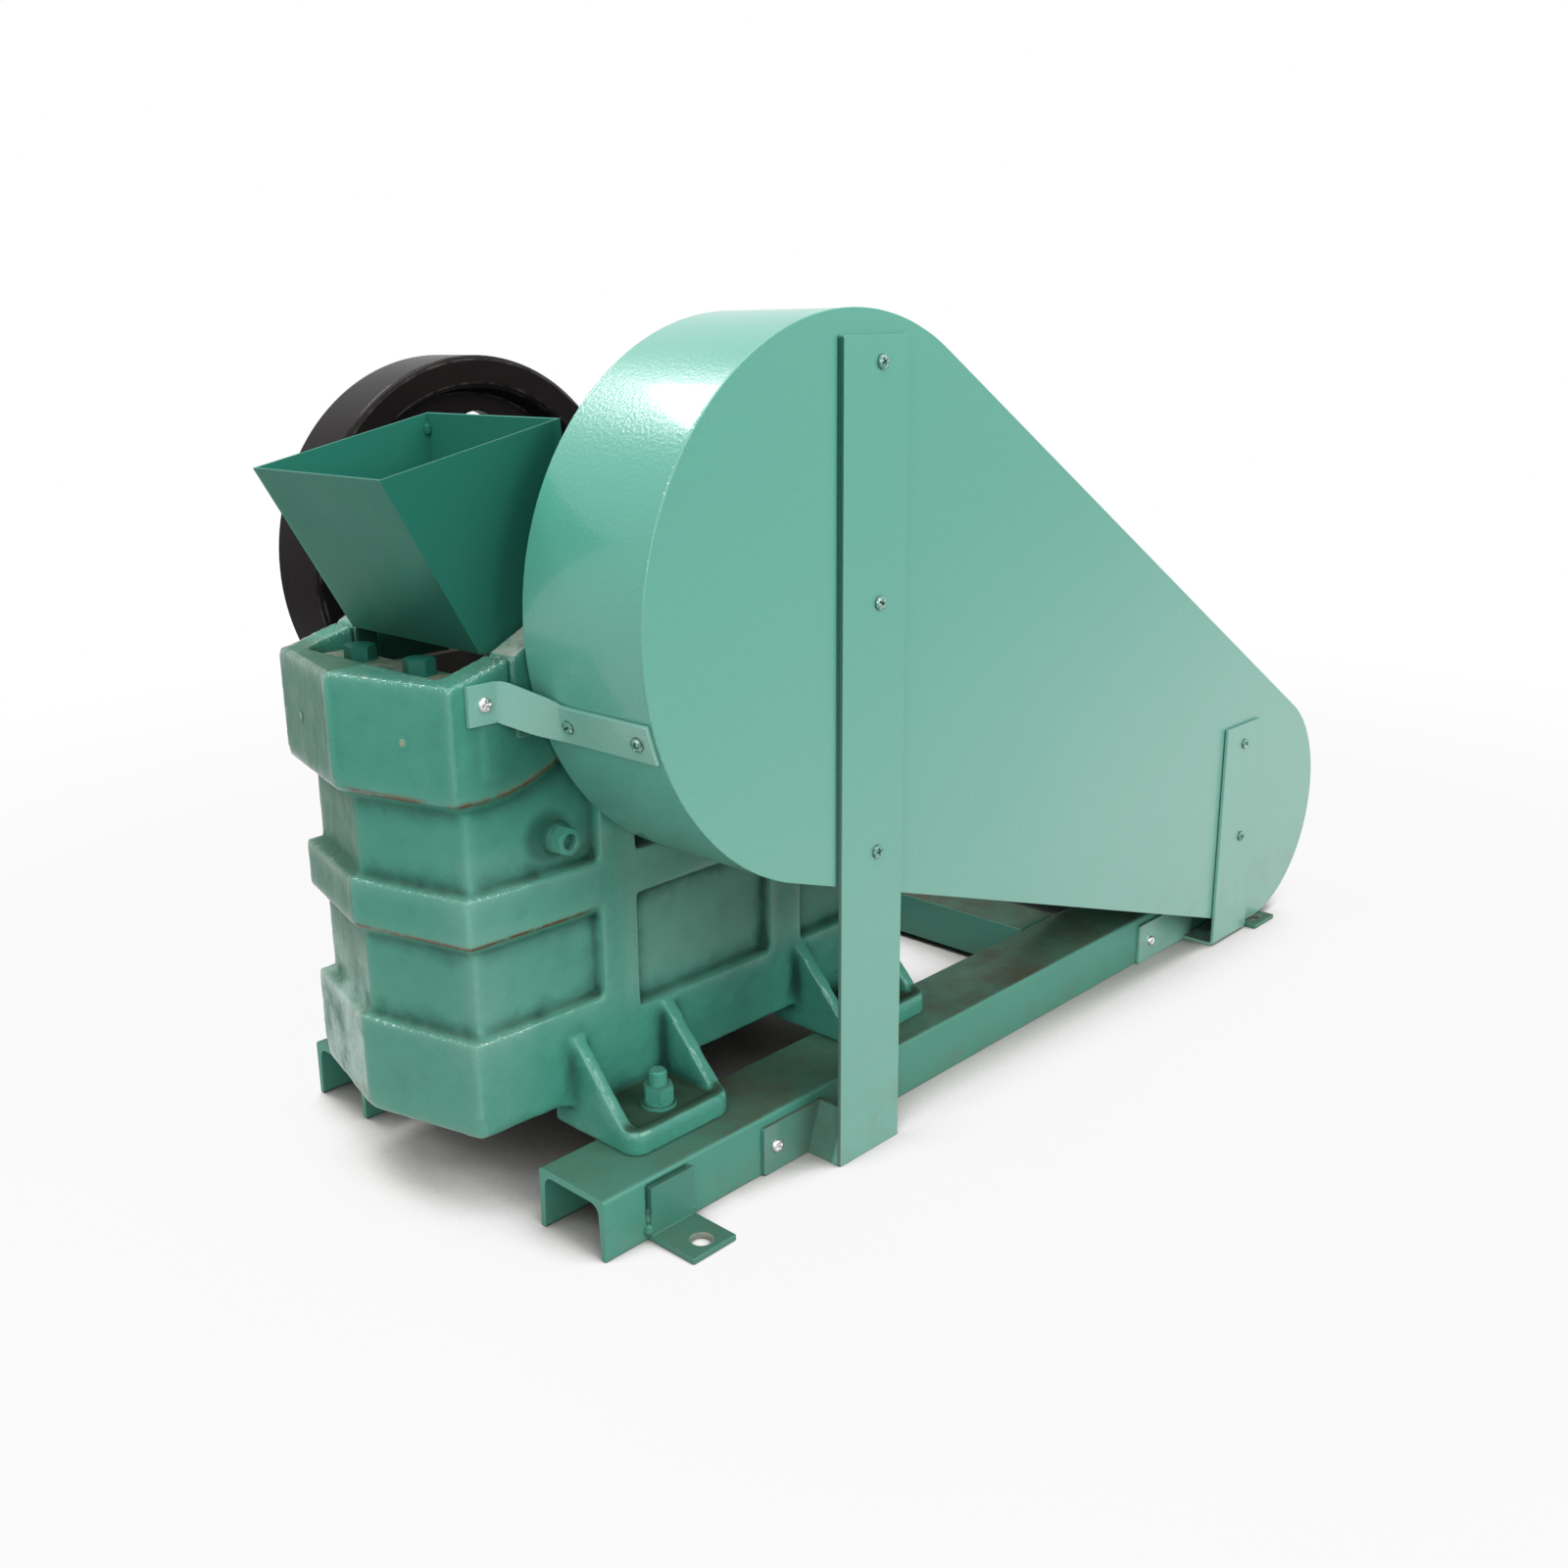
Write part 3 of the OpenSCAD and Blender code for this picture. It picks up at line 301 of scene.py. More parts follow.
def frame_paint():
    """Sea green on rolled steel, brown dust lying on the tops, scuffs at the edges, painted shade in nooks and a
    painted shadow round the anchor tabs.
    """
    f = Finish("frame_paint")
    x, y, z = (f.axis(a) for a in "XYZ")
    edge = f.mark("edge")
    up = f.facing("Z")
    colour = f.mix(f.cloud(9.0, 4.0), (0.055, 0.240, 0.178), (0.078, 0.292, 0.220))
    streaks = f.cloud(70, 6.0, 0.7, f.stretched(0.25, 1, 1)).step(0.58, 0.75)
    colour = f.mix(streaks * 0.30, colour, (0.045, 0.15, 0.11))
    colour = f.mix(edge * f.cloud(120, 3.0).step(0.45, 0.65) * 0.5, colour, (0.22, 0.40, 0.33))
    # Painted shade in the nooks.
    colour = f.mix(f.mark("nook") * 0.8, colour, NOOK_SHADE)
    splashed = z.step(0.030, 0.002) * f.cloud(50, 5.0, 0.7).step(0.35, 0.70)
    colour = f.mix(splashed * 0.30, colour, DUST)
    lying = up.step(0.6, 0.95) * (0.45 + f.cloud(17, 6.0, 0.62).step(0.25, 0.75) * 0.55)
    behind = x.step(-0.365, -0.315)
    colour = f.mix(lying * (0.58 + behind * 0.36), colour, (0.062, 0.054, 0.030))
    # Painted shadow in the gap beside and above each anchor tab's upright.
    low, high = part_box("anchor_tab_front_near")
    beside = x.line(low.x - 0.8 * MM, 2.0 * MM) * z.step(0.40 * high.z, 0.55 * high.z)
    beside = beside * z.step(high.z + 2 * MM, high.z)
    above = z.line(high.z + 0.8 * MM, 2.0 * MM) * x.step(low.x - 2 * MM, low.x)
    above = above * x.step(high.x - 1 * MM, high.x - 5 * MM)
    colour = f.mix(beside.most(above) * y.step(-0.1640, -0.1650) * 0.9, colour, (0.006, 0.042, 0.030))
    # Darker on everything standing nearer than the near rail's face.
    colour = f.mix(y.step(-0.1662, -0.1678) * 0.35, colour, (0.026, 0.118, 0.084))
    hole_x, hole_y = 0.374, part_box("guard_face")[0].y
    across = (x * x - hole_x * hole_x) * (0.5 / hole_x)
    along = (y * y - hole_y * hole_y) * (-0.5 / hole_y)
    rim = (across * across + along * along).step((8.2 * MM) ** 2, (7.4 * MM) ** 2) * z.step(0.016, 0.012)
    colour = f.mix(rim * f.cloud(150, 4.0).step(0.25, 0.55) * 0.85, colour, (0.300, 0.270, 0.235))
    skin = f.bump(f.cloud(90, 4.0, 0.6), 0.45 * MM, 0.5)
    rough = 0.36 + f.cloud(22, 4.0) * 0.15 + lying * 0.35
    return f.surface(Base_Color=colour, Roughness=rough, Normal=skin, Specular_IOR_Level=0.4)


def hopper_paint():
    """Satin sea green on thin sheet, browned by ore dust low down and inside; painted light on the front and
    inner walls, a painted reflection, painted shade in the throat and nooks, edges painted pale.
    """
    f = Finish("hopper_paint")
    x, y, z = (f.axis(a) for a in "XYZ")
    edge = f.mark("edge")
    low = z.step(0.47, 0.38) * f.cloud(24, 5.0, 0.62).step(0.28, 0.70)
    # Painted light on the front face, and a dark painted reflection over its lower right.
    front = f.facing("X").step(-0.5, -0.85) * x.step(-0.395, -0.410)
    low_right = (z + (y + 0.0605) * 0.42).step(0.440, 0.405)
    colour = f.mix(f.cloud(6.0, 3.0), (0.012, 0.116, 0.084), (0.018, 0.142, 0.105))
    # Painted light on the inner walls.
    inner = y.step(0.0740, 0.0770).most(x.step(-0.356, -0.350))
    colour = f.mix(inner * 0.7, colour, (0.026, 0.205, 0.150))
    colour = f.mix(front * (0.26 + f.cloud(14, 4.0).step(0.25, 0.72) * 0.16), colour, (0.085, 0.280, 0.205))
    colour = f.mix(front * low_right * 0.75, colour, (0.008, 0.070, 0.050))
    # Painted shade in the throat.
    throat = z.step(0.378, 0.356) * y.step(0.070, 0.076).most(x.step(-0.352, -0.346))
    colour = f.mix(throat * 0.9, colour, (0.004, 0.018, 0.013))
    colour = f.mix(low * 0.14, colour, (0.060, 0.085, 0.052))
    # Painted highlight and pale dust along the sheet's edges.
    colour = f.mix(edge * 0.75, colour, (0.42, 0.60, 0.53))
    # Painted shade in the nooks.
    colour = f.mix(f.mark("nook") * 0.7, colour, NOOK_SHADE)
    wave = f.bump(f.cloud(11, 1.0), 1.5 * MM, 0.4)
    peel = f.bump(f.cloud(380, 2.0), 0.14 * MM, 0.5, wave)
    rough = 0.36 + f.cloud(16, 4.0) * 0.14
    return f.surface(Base_Color=colour, Roughness=rough, Normal=peel, Specular_IOR_Level=0.07)


def wheel_black():
    """Gloss black on a cast wheel, scuffed grey on the high edges."""
    f = Finish("wheel_black")
    edge, nook = f.mark("edge"), f.mark("nook")
    up = f.facing("Z")
    rubs = f.cloud(42, 6.0, 0.72, f.stretched(1, 0.4, 1)).step(0.62, 0.76)
    colour = f.mix(f.cloud(12, 4.0), (0.0085, 0.0066, 0.0068), (0.0150, 0.0122, 0.0124))
    colour = f.mix(rubs * 0.24, colour, (0.070, 0.060, 0.054))
    colour = f.mix(edge * f.cloud(70, 4.0).step(0.40, 0.64) * 0.55, colour, (0.12, 0.11, 0.105))
    colour = f.mix(nook * f.cloud(30, 4.0).step(0.40, 0.70) * 0.5, colour, DUST)
    grain = f.bump(f.cloud(180, 3.0, 0.6), 0.4 * MM, 0.45)
    rough = 0.26 + f.cloud(24, 4.0) * 0.18 + rubs * 0.15
    return f.surface(Base_Color=colour, Roughness=rough, Normal=grain, Specular_IOR_Level=0.02,
                     Coat_Weight=up.step(-0.20, 0.90) * 0.22, Coat_Roughness=0.22)


def jaw_steel():
    """Raw manganese steel, ground on the teeth and dark with ore."""
    f = Finish("jaw_steel")
    edge = f.mark("edge")
    colour = f.mix(f.cloud(20, 5.0), (0.050, 0.048, 0.042), (0.105, 0.098, 0.086))
    colour = f.mix(f.cloud(48, 5.0, 0.7).step(0.45, 0.68) * 0.55, colour, (0.085, 0.050, 0.028))
    colour = f.mix(edge * 0.45, colour, (0.24, 0.235, 0.22))
    colour = f.mix(f.facing("Z").step(0.5, 0.9) * 0.6, colour, DUST)
    grain = f.bump(f.cloud(140, 4.0, 0.65), 0.9 * MM, 0.6)
    rough = 0.52 + f.cloud(33, 3.0) * 0.2
    return f.surface(Base_Color=colour, Roughness=rough, Metallic=0.15 + edge * 0.5, Normal=grain,
                     Specular_IOR_Level=0.3)


def bright_steel():
    """Turned steel with fine tool rings and a little oil stain."""
    f = Finish("bright_steel")
    rings = f.cloud(900, 1.0, 0.5, f.stretched(0.02, 1, 0.02))
    stain = f.cloud(28, 5.0, 0.65).step(0.48, 0.72)
    colour = f.mix(stain * 0.55, (0.50, 0.495, 0.48), (0.20, 0.165, 0.125))
    return f.surface(Base_Color=colour, Roughness=0.26 + rings * 0.12 + stain * 0.2, Metallic=1.0 - stain * 0.3,
                     Normal=f.bump(rings, 0.05 * MM, 0.5))


def zinc_plate():
    """Bright zinc on the screws and bolts that aren't painted over."""
    f = Finish("zinc_plate")
    dull = f.cloud(300, 3.0).step(0.40, 0.70)
    colour = f.mix(dull * 0.5, (0.66, 0.66, 0.65), (0.42, 0.41, 0.38))
    return f.surface(Base_Color=colour, Roughness=0.22 + dull * 0.2, Metallic=1.0)


def worn_screw():
    """Screw heads painted over with the guard, the paint chipped off their crowns, painted shade in the cross and
    round the rim.
    """
    f = Finish("worn_screw")
    bare = f.cloud(420, 3.0).step(0.46, 0.62)
    nook = f.mark("nook")
    colour = f.mix(bare * 0.7, (0.060, 0.255, 0.190), (0.52, 0.62, 0.57))
    # Painted shade in the cross and round the head's rim.
    colour = f.mix(nook * 0.95, colour, (0.004, 0.010, 0.008))
    return f.surface(Base_Color=colour, Roughness=0.20 + nook * 0.5, Metallic=bare * 0.6)


def plug_filler():
    """Putty of the filled holes, worn pale."""
    f = Finish("plug_filler")
    pale = f.cloud(600, 3.0).step(0.36, 0.66)
    colour = f.mix(pale, (0.17, 0.25, 0.16), (0.30, 0.36, 0.24))
    return f.surface(Base_Color=colour, Roughness=0.55 + pale * 0.2)


def spring_steel():
    """Dark oiled wire."""
    f = Finish("spring_steel")
    dry = f.cloud(120, 4.0).step(0.45, 0.70)
    colour = f.mix(dry * 0.6, (0.060, 0.058, 0.058), (0.16, 0.12, 0.085))
    return f.surface(Base_Color=colour, Roughness=0.32 + dry * 0.25, Metallic=0.85)


def belt_rubber():
    """Matt black rubber with a dusty cloth weave."""
    f = Finish("belt_rubber")
    weave = f.node("TexWave", sockets={"Vector": f.place(), "Scale": 420.0, "Distortion": 1.5})
    dusty = f.cloud(38, 4.0).step(0.38, 0.72)
    colour = f.mix(dusty * 0.5, (0.014, 0.014, 0.0145), (0.055, 0.052, 0.046))
    return f.surface(Base_Color=colour, Roughness=0.74 + dusty * 0.12, Normal=f.bump(weave, 0.12 * MM, 0.4))


# Making pieces


def show(name, bm, finish, body="frame", stands_for=(), sharp=40, weight=False):
    """Turns a bmesh into a named piece that rides on a body."""
    bmesh.ops.recalc_face_normals(bm, faces=bm.faces)
    mesh = bpy.data.meshes.new(name)
    bm.to_mesh(mesh)
    bm.free()
    return show_mesh(name, mesh, finish, body, stands_for, sharp, weight)


def show_mesh(name, mesh, finish, body="frame", stands_for=(), sharp=40, weight=False):
    """Puts a mesh in the scene as a named piece; sharp is the angle from which an edge isn't shaded smooth."""
    mesh.polygons.foreach_set("use_smooth", [True] * len(mesh.polygons))
    mesh.set_sharp_from_angle(angle=radians(sharp))
    piece = bpy.data.objects.new(name, mesh)
    bpy.context.scene.collection.objects.link(piece)
    if weight:
        flat = piece.modifiers.new("flat", "WEIGHTED_NORMAL")
        flat.keep_sharp = True
        settled(piece)
    piece.data.materials.clear()
    piece.data.materials.append(finish)
    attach(piece, body)
    if stands_for:
        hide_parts(*stands_for)
    return piece


def settled(piece):
    """Applies a piece's modifiers to its mesh."""
    graph = bpy.context.evaluated_depsgraph_get()
    mesh = bpy.data.meshes.new_from_object(piece.evaluated_get(graph))
    piece.modifiers.clear()
    piece.data = mesh
    return mesh


def node_bmesh(node):
    """The CAD node's own mesh as clean faces: seams joined, flat triangles merged."""
    bm = bmesh.new()
    bm.from_mesh(frame["nodes"][node].data)
    bmesh.ops.remove_doubles(bm, verts=bm.verts, dist=0.002 * MM)
    bmesh.ops.dissolve_limit(bm, angle_limit=radians(0.4), verts=bm.verts, edges=bm.edges)
    return bm


def ease_edges(bm, width, angle=24):
    """Rounds the sharp edges and marks the crown of each rounding as edge."""
    sharp = [e for e in bm.edges if len(e.link_faces) == 2 and e.calc_face_angle() > radians(angle)]
    made = bmesh.ops.bevel(
        bm, geom=sharp, offset=width, segments=2, profile=0.5, affect="EDGES", clamp_overlap=True
    )
    rounding = set(made["faces"])
    layer = bm.verts.layers.float.new("edge")
    for v in bm.verts:
        v[layer] = 1.0 if v.link_faces and all(f in rounding for f in v.link_faces) else 0.0
    return bm


def dressed(node, width, finish, body="frame", angle=24):
    """The CAD node with eased edges, in its place."""
    bm = ease_edges(node_bmesh(node), width, angle)
    return show(node + "_finished", bm, finish, body, (node,), sharp=50, weight=True)


def joined(bm, rings, closed=False, caps=True):
    """Faces from ring to ring of as many points each, capped at the ends unless the last meets the first."""
    count = len(rings[0])
    for a, b in list(zip(rings, rings[1:])) + ([(rings[-1], rings[0])] if closed else []):
        for k in range(count):
            n = (k + 1) % count
            bm.faces.new((a[k], a[n], b[n], b[k]))
    if caps and not closed:
        bm.faces.new(rings[0][::-1])
        bm.faces.new(rings[-1])
    return bm


def circle(bm, middle, radius, side, other, steps):
    """New points round a middle, in the plane of two directions."""
    turns = [2 * math.pi * k / steps for k in range(steps)]
    return [bm.verts.new(middle + radius * (math.cos(t) * side + math.sin(t) * other)) for t in turns]


def tube(bm, points, radius, sides=10, closed=False):
    """A round bar along points; radius is one number or one for each point."""
    points = [Vector(p) for p in points]
    radii = radius if hasattr(radius, "__len__") else [radius] * len(points)
    count = len(points)
    side = None
    rings = []
    for i, p in enumerate(points):
        ahead = points[(i + 1) % count] if closed or i + 1 < count else p
        back = points[i - 1] if closed or i else p
        run = (ahead - back).normalized()
        side = side - run * side.dot(run) if side else run.orthogonal()
        side.normalize()
        rings.append(circle(bm, p, radii[i], side, run.cross(side), sides))
    return joined(bm, rings, closed)


def millimetres(*points):
    """Points that are written in millimetres, in metres."""
    return [tuple(value * MM for value in point) for point in points]


def turned(bm, profile, middle, axis, steps=64):
    """Turns a profile of (radius, along) points about an axis; ends at radius 0 close to a point."""
    axis = Vector(axis).normalized()
    side = axis.orthogonal().normalized()
    other = axis.cross(side)
    rings = []
    for radius, along in profile:
        centre = Vector(middle) + axis * along
        if radius < 1e-7:
            rings.append([bm.verts.new(centre)])
        else:
            rings.append(circle(bm, centre, radius, side, other, steps))
    for a, b in zip(rings, rings[1:]):
        for k in range(steps):
            n = (k + 1) % steps
            loop = [a[k % len(a)], a[n % len(a)], b[n % len(b)], b[k % len(b)]]
            loop = [v for i, v in enumerate(loop) if v not in loop[:i]]
            if len(loop) > 2:
                bm.faces.new(loop)
    return bm


def drawn(bm, section, places):
    """Runs a closed section of (a, b) points through places of (centre, a direction, b direction)."""
    return joined(bm, [[bm.verts.new(c + a * u + b * v) for a, b in section] for c, u, v in places])


def rounded(corners, steps=4):
    """A closed outline from (a, b, radius) corners, each with its arc."""
    points = []
    count = len(corners)
    for i, (a, b, radius) in enumerate(corners):
        here = Vector((a, b))
        to_last = (Vector(corners[i - 1][:2]) - here).normalized()
        to_next = (Vector(corners[(i + 1) % count][:2]) - here).normalized()
        if radius <= 0:
            points.append(tuple(here))
            continue
        half = to_last.angle(to_next) / 2
        middle = here + (to_last + to_next).normalized() * (radius / math.sin(half))
        start = here + to_last * (radius / math.tan(half)) - middle
        sweep = start.angle_signed(here + to_next * (radius / math.tan(half)) - middle)
        for k in range(steps + 1):
            turned_to = Matrix.Rotation(-sweep * k / steps, 2) @ start
            points.append(tuple(middle + turned_to))
    return points


def solid_box(bm, low, high):
    """A plain block between two corners."""
    low, high = Vector(low), Vector(high)
    made = bmesh.ops.create_cube(bm, size=1.0)["verts"]
    bmesh.ops.scale(bm, vec=high - low, verts=made)
    bmesh.ops.translate(bm, vec=(low + high) / 2, verts=made)


def hexagon(bm, place, across, height, bore=0.0):
    """A nut or bolt head on a place matrix: six flats, its top corners turned off."""
    flat = across / 2
    ring = []
    per_side = 4
    for side in range(6):
        a, b = (radians(60 * k - 30) for k in (side, side + 1))
        one, two = (Vector((math.cos(t), math.sin(t), 0)) * flat / math.cos(radians(30)) for t in (a, b))
        ring += [one.lerp(two, k / per_side) for k in range(per_side)]
    inner = flat * 0.96
    drop = [max(0.0, p.length - inner) * 0.55 for p in ring]
    loops = [[bm.verts.new(place @ p) for p in ring]]
    loops.append([bm.verts.new(place @ (p + UP * (height - d))) for p, d in zip(ring, drop)])
    loops.append([bm.verts.new(place @ (p.normalized() * inner + UP * height)) for p in ring])
    if bore:
        loops.append([bm.verts.new(place @ (p.normalized() * bore * 1.08 + UP * height)) for p in ring])
        loops.append([bm.verts.new(place @ (p.normalized() * bore + UP * (height - bore * 0.1))) for p in ring])
        loops.append([bm.verts.new(place @ (p.normalized() * bore)) for p in ring])
    return joined(bm, loops, closed=bool(bore))


def stood(at, out, spin=0.0):
    """A place matrix with its Z along out."""
    turn = Vector(out).to_track_quat("Z", "Y").to_matrix().to_4x4()
    return Matrix.Translation(Vector(at)) @ turn @ Matrix.Rotation(radians(spin), 4, "Z")


def washer(bm, place, radius, thick, bore):
    """A flat ring with its upper outer edge turned off."""
    axis = (place.to_3x3() @ UP).normalized()
    e = thick * 0.2
    profile = [(bore, 0), (radius, 0), (radius, thick - e), (radius - e, thick), (bore, thick), (bore, 0)]
    return turned(bm, profile, place.translation, axis, 32)


def cross_screw(bm, place, radius=4.65 * MM):
    """A pan head with a cross recess, as a height over rings and spokes."""
    rings, spokes = 12, 56
    height, slot_half, slot_end, slot_deep = 0.62 * radius, 0.15 * radius, 0.64 * radius, 0.40 * radius
    nook = bm.verts.layers.float.get("nook") or bm.verts.layers.float.new("nook")

    # top gives a height and a painted shade: 1 in the cross and on the head's rim.
    def top(x, y):
        r = math.hypot(x, y) / radius
        dome = height * (1 - 0.34 * r * r) if r < 0.93 else height * 0.706 * math.sqrt(max(0.0, (1 - r) / 0.07))
        reach = min(abs(x), abs(y))
        run = max(abs(x), abs(y))
        inside = max(0.0, 1 - (reach / slot_half) ** 4) if reach < slot_half and run < slot_end else 0.0
        return dome - slot_deep * inside * (1 - 0.5 * run / slot_end), max(inside, float(r > 0.97))

    def point(x, y):
        rise, recess_shade = top(x, y)
        v = bm.verts.new(place @ Vector((x, y, rise)))
        v[nook] = recess_shade
        return v

    middle = point(0, 0)
    last = None
    for i in range(1, rings + 1):
        r = radius * i / rings
        ring = []
        for k in range(spokes):
            t = 2 * math.pi * k / spokes
            x, y = r * math.cos(t), r * math.sin(t)
            ring.append(point(x, y))
        for k in range(spokes):
            n = (k + 1) % spokes
            bm.faces.new((middle, ring[k], ring[n]) if last is None else (last[k], ring[k], ring[n], last[n]))
        last = ring
    bm.faces.new(last[::-1])
    return bm


def weld(bm, points, radius, steps=40, seed=1):
    """A lumpy bead along a line of points."""
    points = [Vector(p) for p in points]
    line = []
    for i in range(steps + 1):
        at = i / steps * (len(points) - 1)
        k = min(int(at), len(points) - 2)
        line.append(points[k].lerp(points[k + 1], at - k))
    wobble = [noise.noise(Vector((i * 0.9, seed * 3.7, 0))) for i in range(steps + 1)]
    ripple = [0.12 * math.sin(i * 2.1) for i in range(steps + 1)]
    taper = [min(1.0, 0.35 + 0.25 * min(i, steps - i)) for i in range(steps + 1)]
    return tube(bm, line, [radius * t * (1 + 0.25 * w + r) for t, w, r in zip(taper, wobble, ripple)], 10)


def bolt(bm, place, across, height, washer_r=0.0):
    """A hex bolt head on its washer."""
    rise = 0.0
    if washer_r:
        rise = 0.10 * across
        washer(bm, place, washer_r, rise, 0.2 * across)
    return hexagon(bm, place @ Matrix.Translation(UP * rise), across, height)


def stud(bm, place, radius, length, pitch):
    """A threaded stud end standing up from a place."""
    axis = (place.to_3x3() @ UP).normalized()
    turns = int(length / pitch)
    profile = [(radius * 0.9, 0)]
    for k in range(turns):
        profile += [(radius * share, (k + at) * pitch) for share, at in ((0.93, 0.1), (1, 0.45), (1, 0.6))]
    profile += [(radius * 0.86, length - 0.3 * pitch), (radius * 0.78, length), (0, length)]
    return turned(bm, profile, place.translation, axis, 32)


def cast_skin(name, bm, voxel, rounds, rough, finish, stands_for, most=180000, soften=None):
    """Melts lumps into one sand-cast skin: remeshed, smoothed, roughened, with edge and nook marks."""
    bmesh.ops.recalc_face_normals(bm, faces=bm.faces)
    bmesh.ops.triangulate(bm, faces=bm.faces)
    mesh = bpy.data.meshes.new(name)
    bm.to_mesh(mesh)
    bm.free()
    lump = bpy.data.objects.new(name, mesh)
    bpy.context.scene.collection.objects.link(lump)
    melt = lump.modifiers.new("melt", "REMESH")
    melt.mode, melt.voxel_size = "VOXEL", voxel
    soft = lump.modifiers.new("soft", "SMOOTH")
    soft.factor, soft.iterations = 0.5, rounds
    mesh = settled(lump)
    if soften:
        round_off(mesh, soften)
    roughen(mesh, rough)
    triangles = 2 * len(mesh.polygons)
    if triangles > most:
        thin = lump.modifiers.new("thin", "DECIMATE")
        thin.ratio = most / triangles
        mesh = settled(lump)
    mark_edges(mesh)
    bpy.data.objects.remove(lump)
    return show_mesh(name, mesh, finish, stands_for=stands_for, sharp=180)


def points_of(mesh):
    """A mesh's points as rows."""
    flat = np.empty(len(mesh.vertices) * 3, np.float32)
    mesh.vertices.foreach_get("co", flat)
    return flat.reshape(-1, 3)


def normals_of(mesh):
    """The normals at a mesh's points as rows."""
    flat = np.empty(len(mesh.vertices) * 3, np.float32)
    mesh.vertex_normals.foreach_get("vector", flat)
    return flat.reshape(-1, 3)


def roughen(mesh, depth):
    """Moves points along their normals by two sizes of cloud, as sand and runs of paint leave them."""
    co, normal = points_of(mesh), normals_of(mesh)
    shift = Vector((7, 3, 1))
    spots = [Vector(p) for p in co.tolist()]
    push = [noise.noise(p * 70) * 0.6 + noise.noise(p * 210 + shift) * 0.4 for p in spots]
    co = co + normal * (np.array(push, np.float32) * depth)[:, None]
    mesh.vertices.foreach_set("co", co.ravel())
    mesh.update()


def neighbours(mesh):
    """A function that averages a value over the points that edges join to each point."""
    links = np.empty(len(mesh.edges) * 2, np.int32)
    mesh.edges.foreach_get("vertices", links)
    a, b = links.reshape(-1, 2).T
    points = len(mesh.vertices)
    count = np.maximum(np.bincount(a, minlength=points) + np.bincount(b, minlength=points), 1)

    def averaged(values):
        columns = values.reshape(points, -1)
        sums = [np.bincount(a, column[b], points) + np.bincount(b, column[a], points) for column in columns.T]
        return (np.stack(sums, 1) / count[:, None]).reshape(values.shape)

    return averaged


def round_off(mesh, where, rounds=36):
    """Smooths the points of a place until its corners are well rounded."""
    averaged = neighbours(mesh)
    co = points_of(mesh)
    chosen = where(co)
    for _ in range(rounds):
        co[chosen] = 0.5 * co[chosen] + 0.5 * averaged(co)[chosen]
    mesh.vertices.foreach_set("co", co.ravel())
    mesh.update()


def mark_edges(mesh, rounds=3):
    """Writes how far each point stands out of its surroundings: edge on ridges, nook in corners."""
    averaged = neighbours(mesh)
    co, normal = points_of(mesh), normals_of(mesh)
    wide = co
    for _ in range(4):
        wide = averaged(wide)
    bend = ((co - wide) * normal).sum(1)
    for _ in range(rounds):
        bend = averaged(bend)
    size = max(float(np.percentile(np.abs(bend), 97)), 1e-7)
    for name, value in (("edge", bend / size), ("nook", -bend / size)):
        layer = mesh.attributes.new(name, "FLOAT", "POINT")
        layer.data.foreach_set("value", np.clip(value, 0, 1).astype(np.float32))


# The base


def rails():
    """Rolled channels, web up, with tapered flanges and rounded roots."""
    for node in ("base_rail_near", "base_rail_far"):
        low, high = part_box(node)
        wide, tall, web, tip = high.y - low.y, high.z, 5 * MM, 4 * MM
        root = tip + 1.5 * MM
        section = rounded([
            (0, 0, 1 * MM), (tip, 0, 1.6 * MM), (root, tall - web, 7 * MM), (wide - root, tall - web, 7 * MM),
            (wide - tip, 0, 1.6 * MM), (wide, 0, 1 * MM), (wide, tall, 3.2 * MM), (0, tall, 3.2 * MM),
        ])
        bm = bmesh.new()
        steps = 40
        stations = [low.x + (high.x - low.x) * k / steps for k in range(steps + 1)]
        drawn(bm, section, [(Vector((x, low.y, 0)), ACROSS, UP) for x in stations])
        show(node + "_rolled", bm, FRAME_PAINT, stands_for=(node,), sharp=50, weight=True)


def anchor_tabs():
    """Drilled tabs, each with a thick tack at its foot and a thin bead up both sides."""
    for end in ("front", "rear"):
        for side in ("near", "far"):
            node = f"anchor_tab_{end}_{side}"
            dressed(node, 0.7 * MM, FRAME_PAINT)
            low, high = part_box(node)
            wall = low.y if side == "far" else high.y
            out = 1 if side == "far" else -1
            bm = bmesh.new()
            tack = [(wall + out * 0.8 * MM, 3 * MM), (wall + out * 1.4 * MM, 12 * MM)]
            bead = [(wall + out * 0.6 * MM, 12 * MM), (wall + out * 0.6 * MM, high.z * 0.60)]
            for x, seed in ((low.x, 1), (high.x, 2)):
                weld(bm, [(x, y, z) for y, z in tack], 3.2 * MM, 8, seed)
                weld(bm, [(x, y, z) for y, z in bead], 1.7 * MM, 22, seed + 4)
            show(node + "_welds", bm, FRAME_PAINT, sharp=180)


# The casting


def casting_middle():
    low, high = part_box("crusher_body")
    return (low.y + high.y) / 2


def casting_plan(inset, nose=0.0):
    """Half outline of the casting, from the near side's shoulder round the bow to the far side's."""
    middle = casting_middle()
    corner = CASTING_HALF - 3.5 * MM - inset
    corner_x, ridge_x = SHAFT.x - 0.229 + inset - nose, SHAFT.x - 0.253 + inset - nose
    points = [
        (CASTING_SHOULDER, -CASTING_HALF + inset), (corner_x, -corner), (ridge_x, 0.0),
        (corner_x, corner), (CASTING_SHOULDER, CASTING_HALF - inset),
    ]
    return [Vector((x, middle + y, 0)) for x, y in points]


def top_band_low(x):
    """Height of the top band's lower edge: level round the bow, swept up in an arc along the sides."""
    past = x - SWEEP_START
    return TOP_BAND_LOW + (SWEEP_RADIUS - math.sqrt(SWEEP_RADIUS ** 2 - past ** 2) if past > 0 else 0.0)


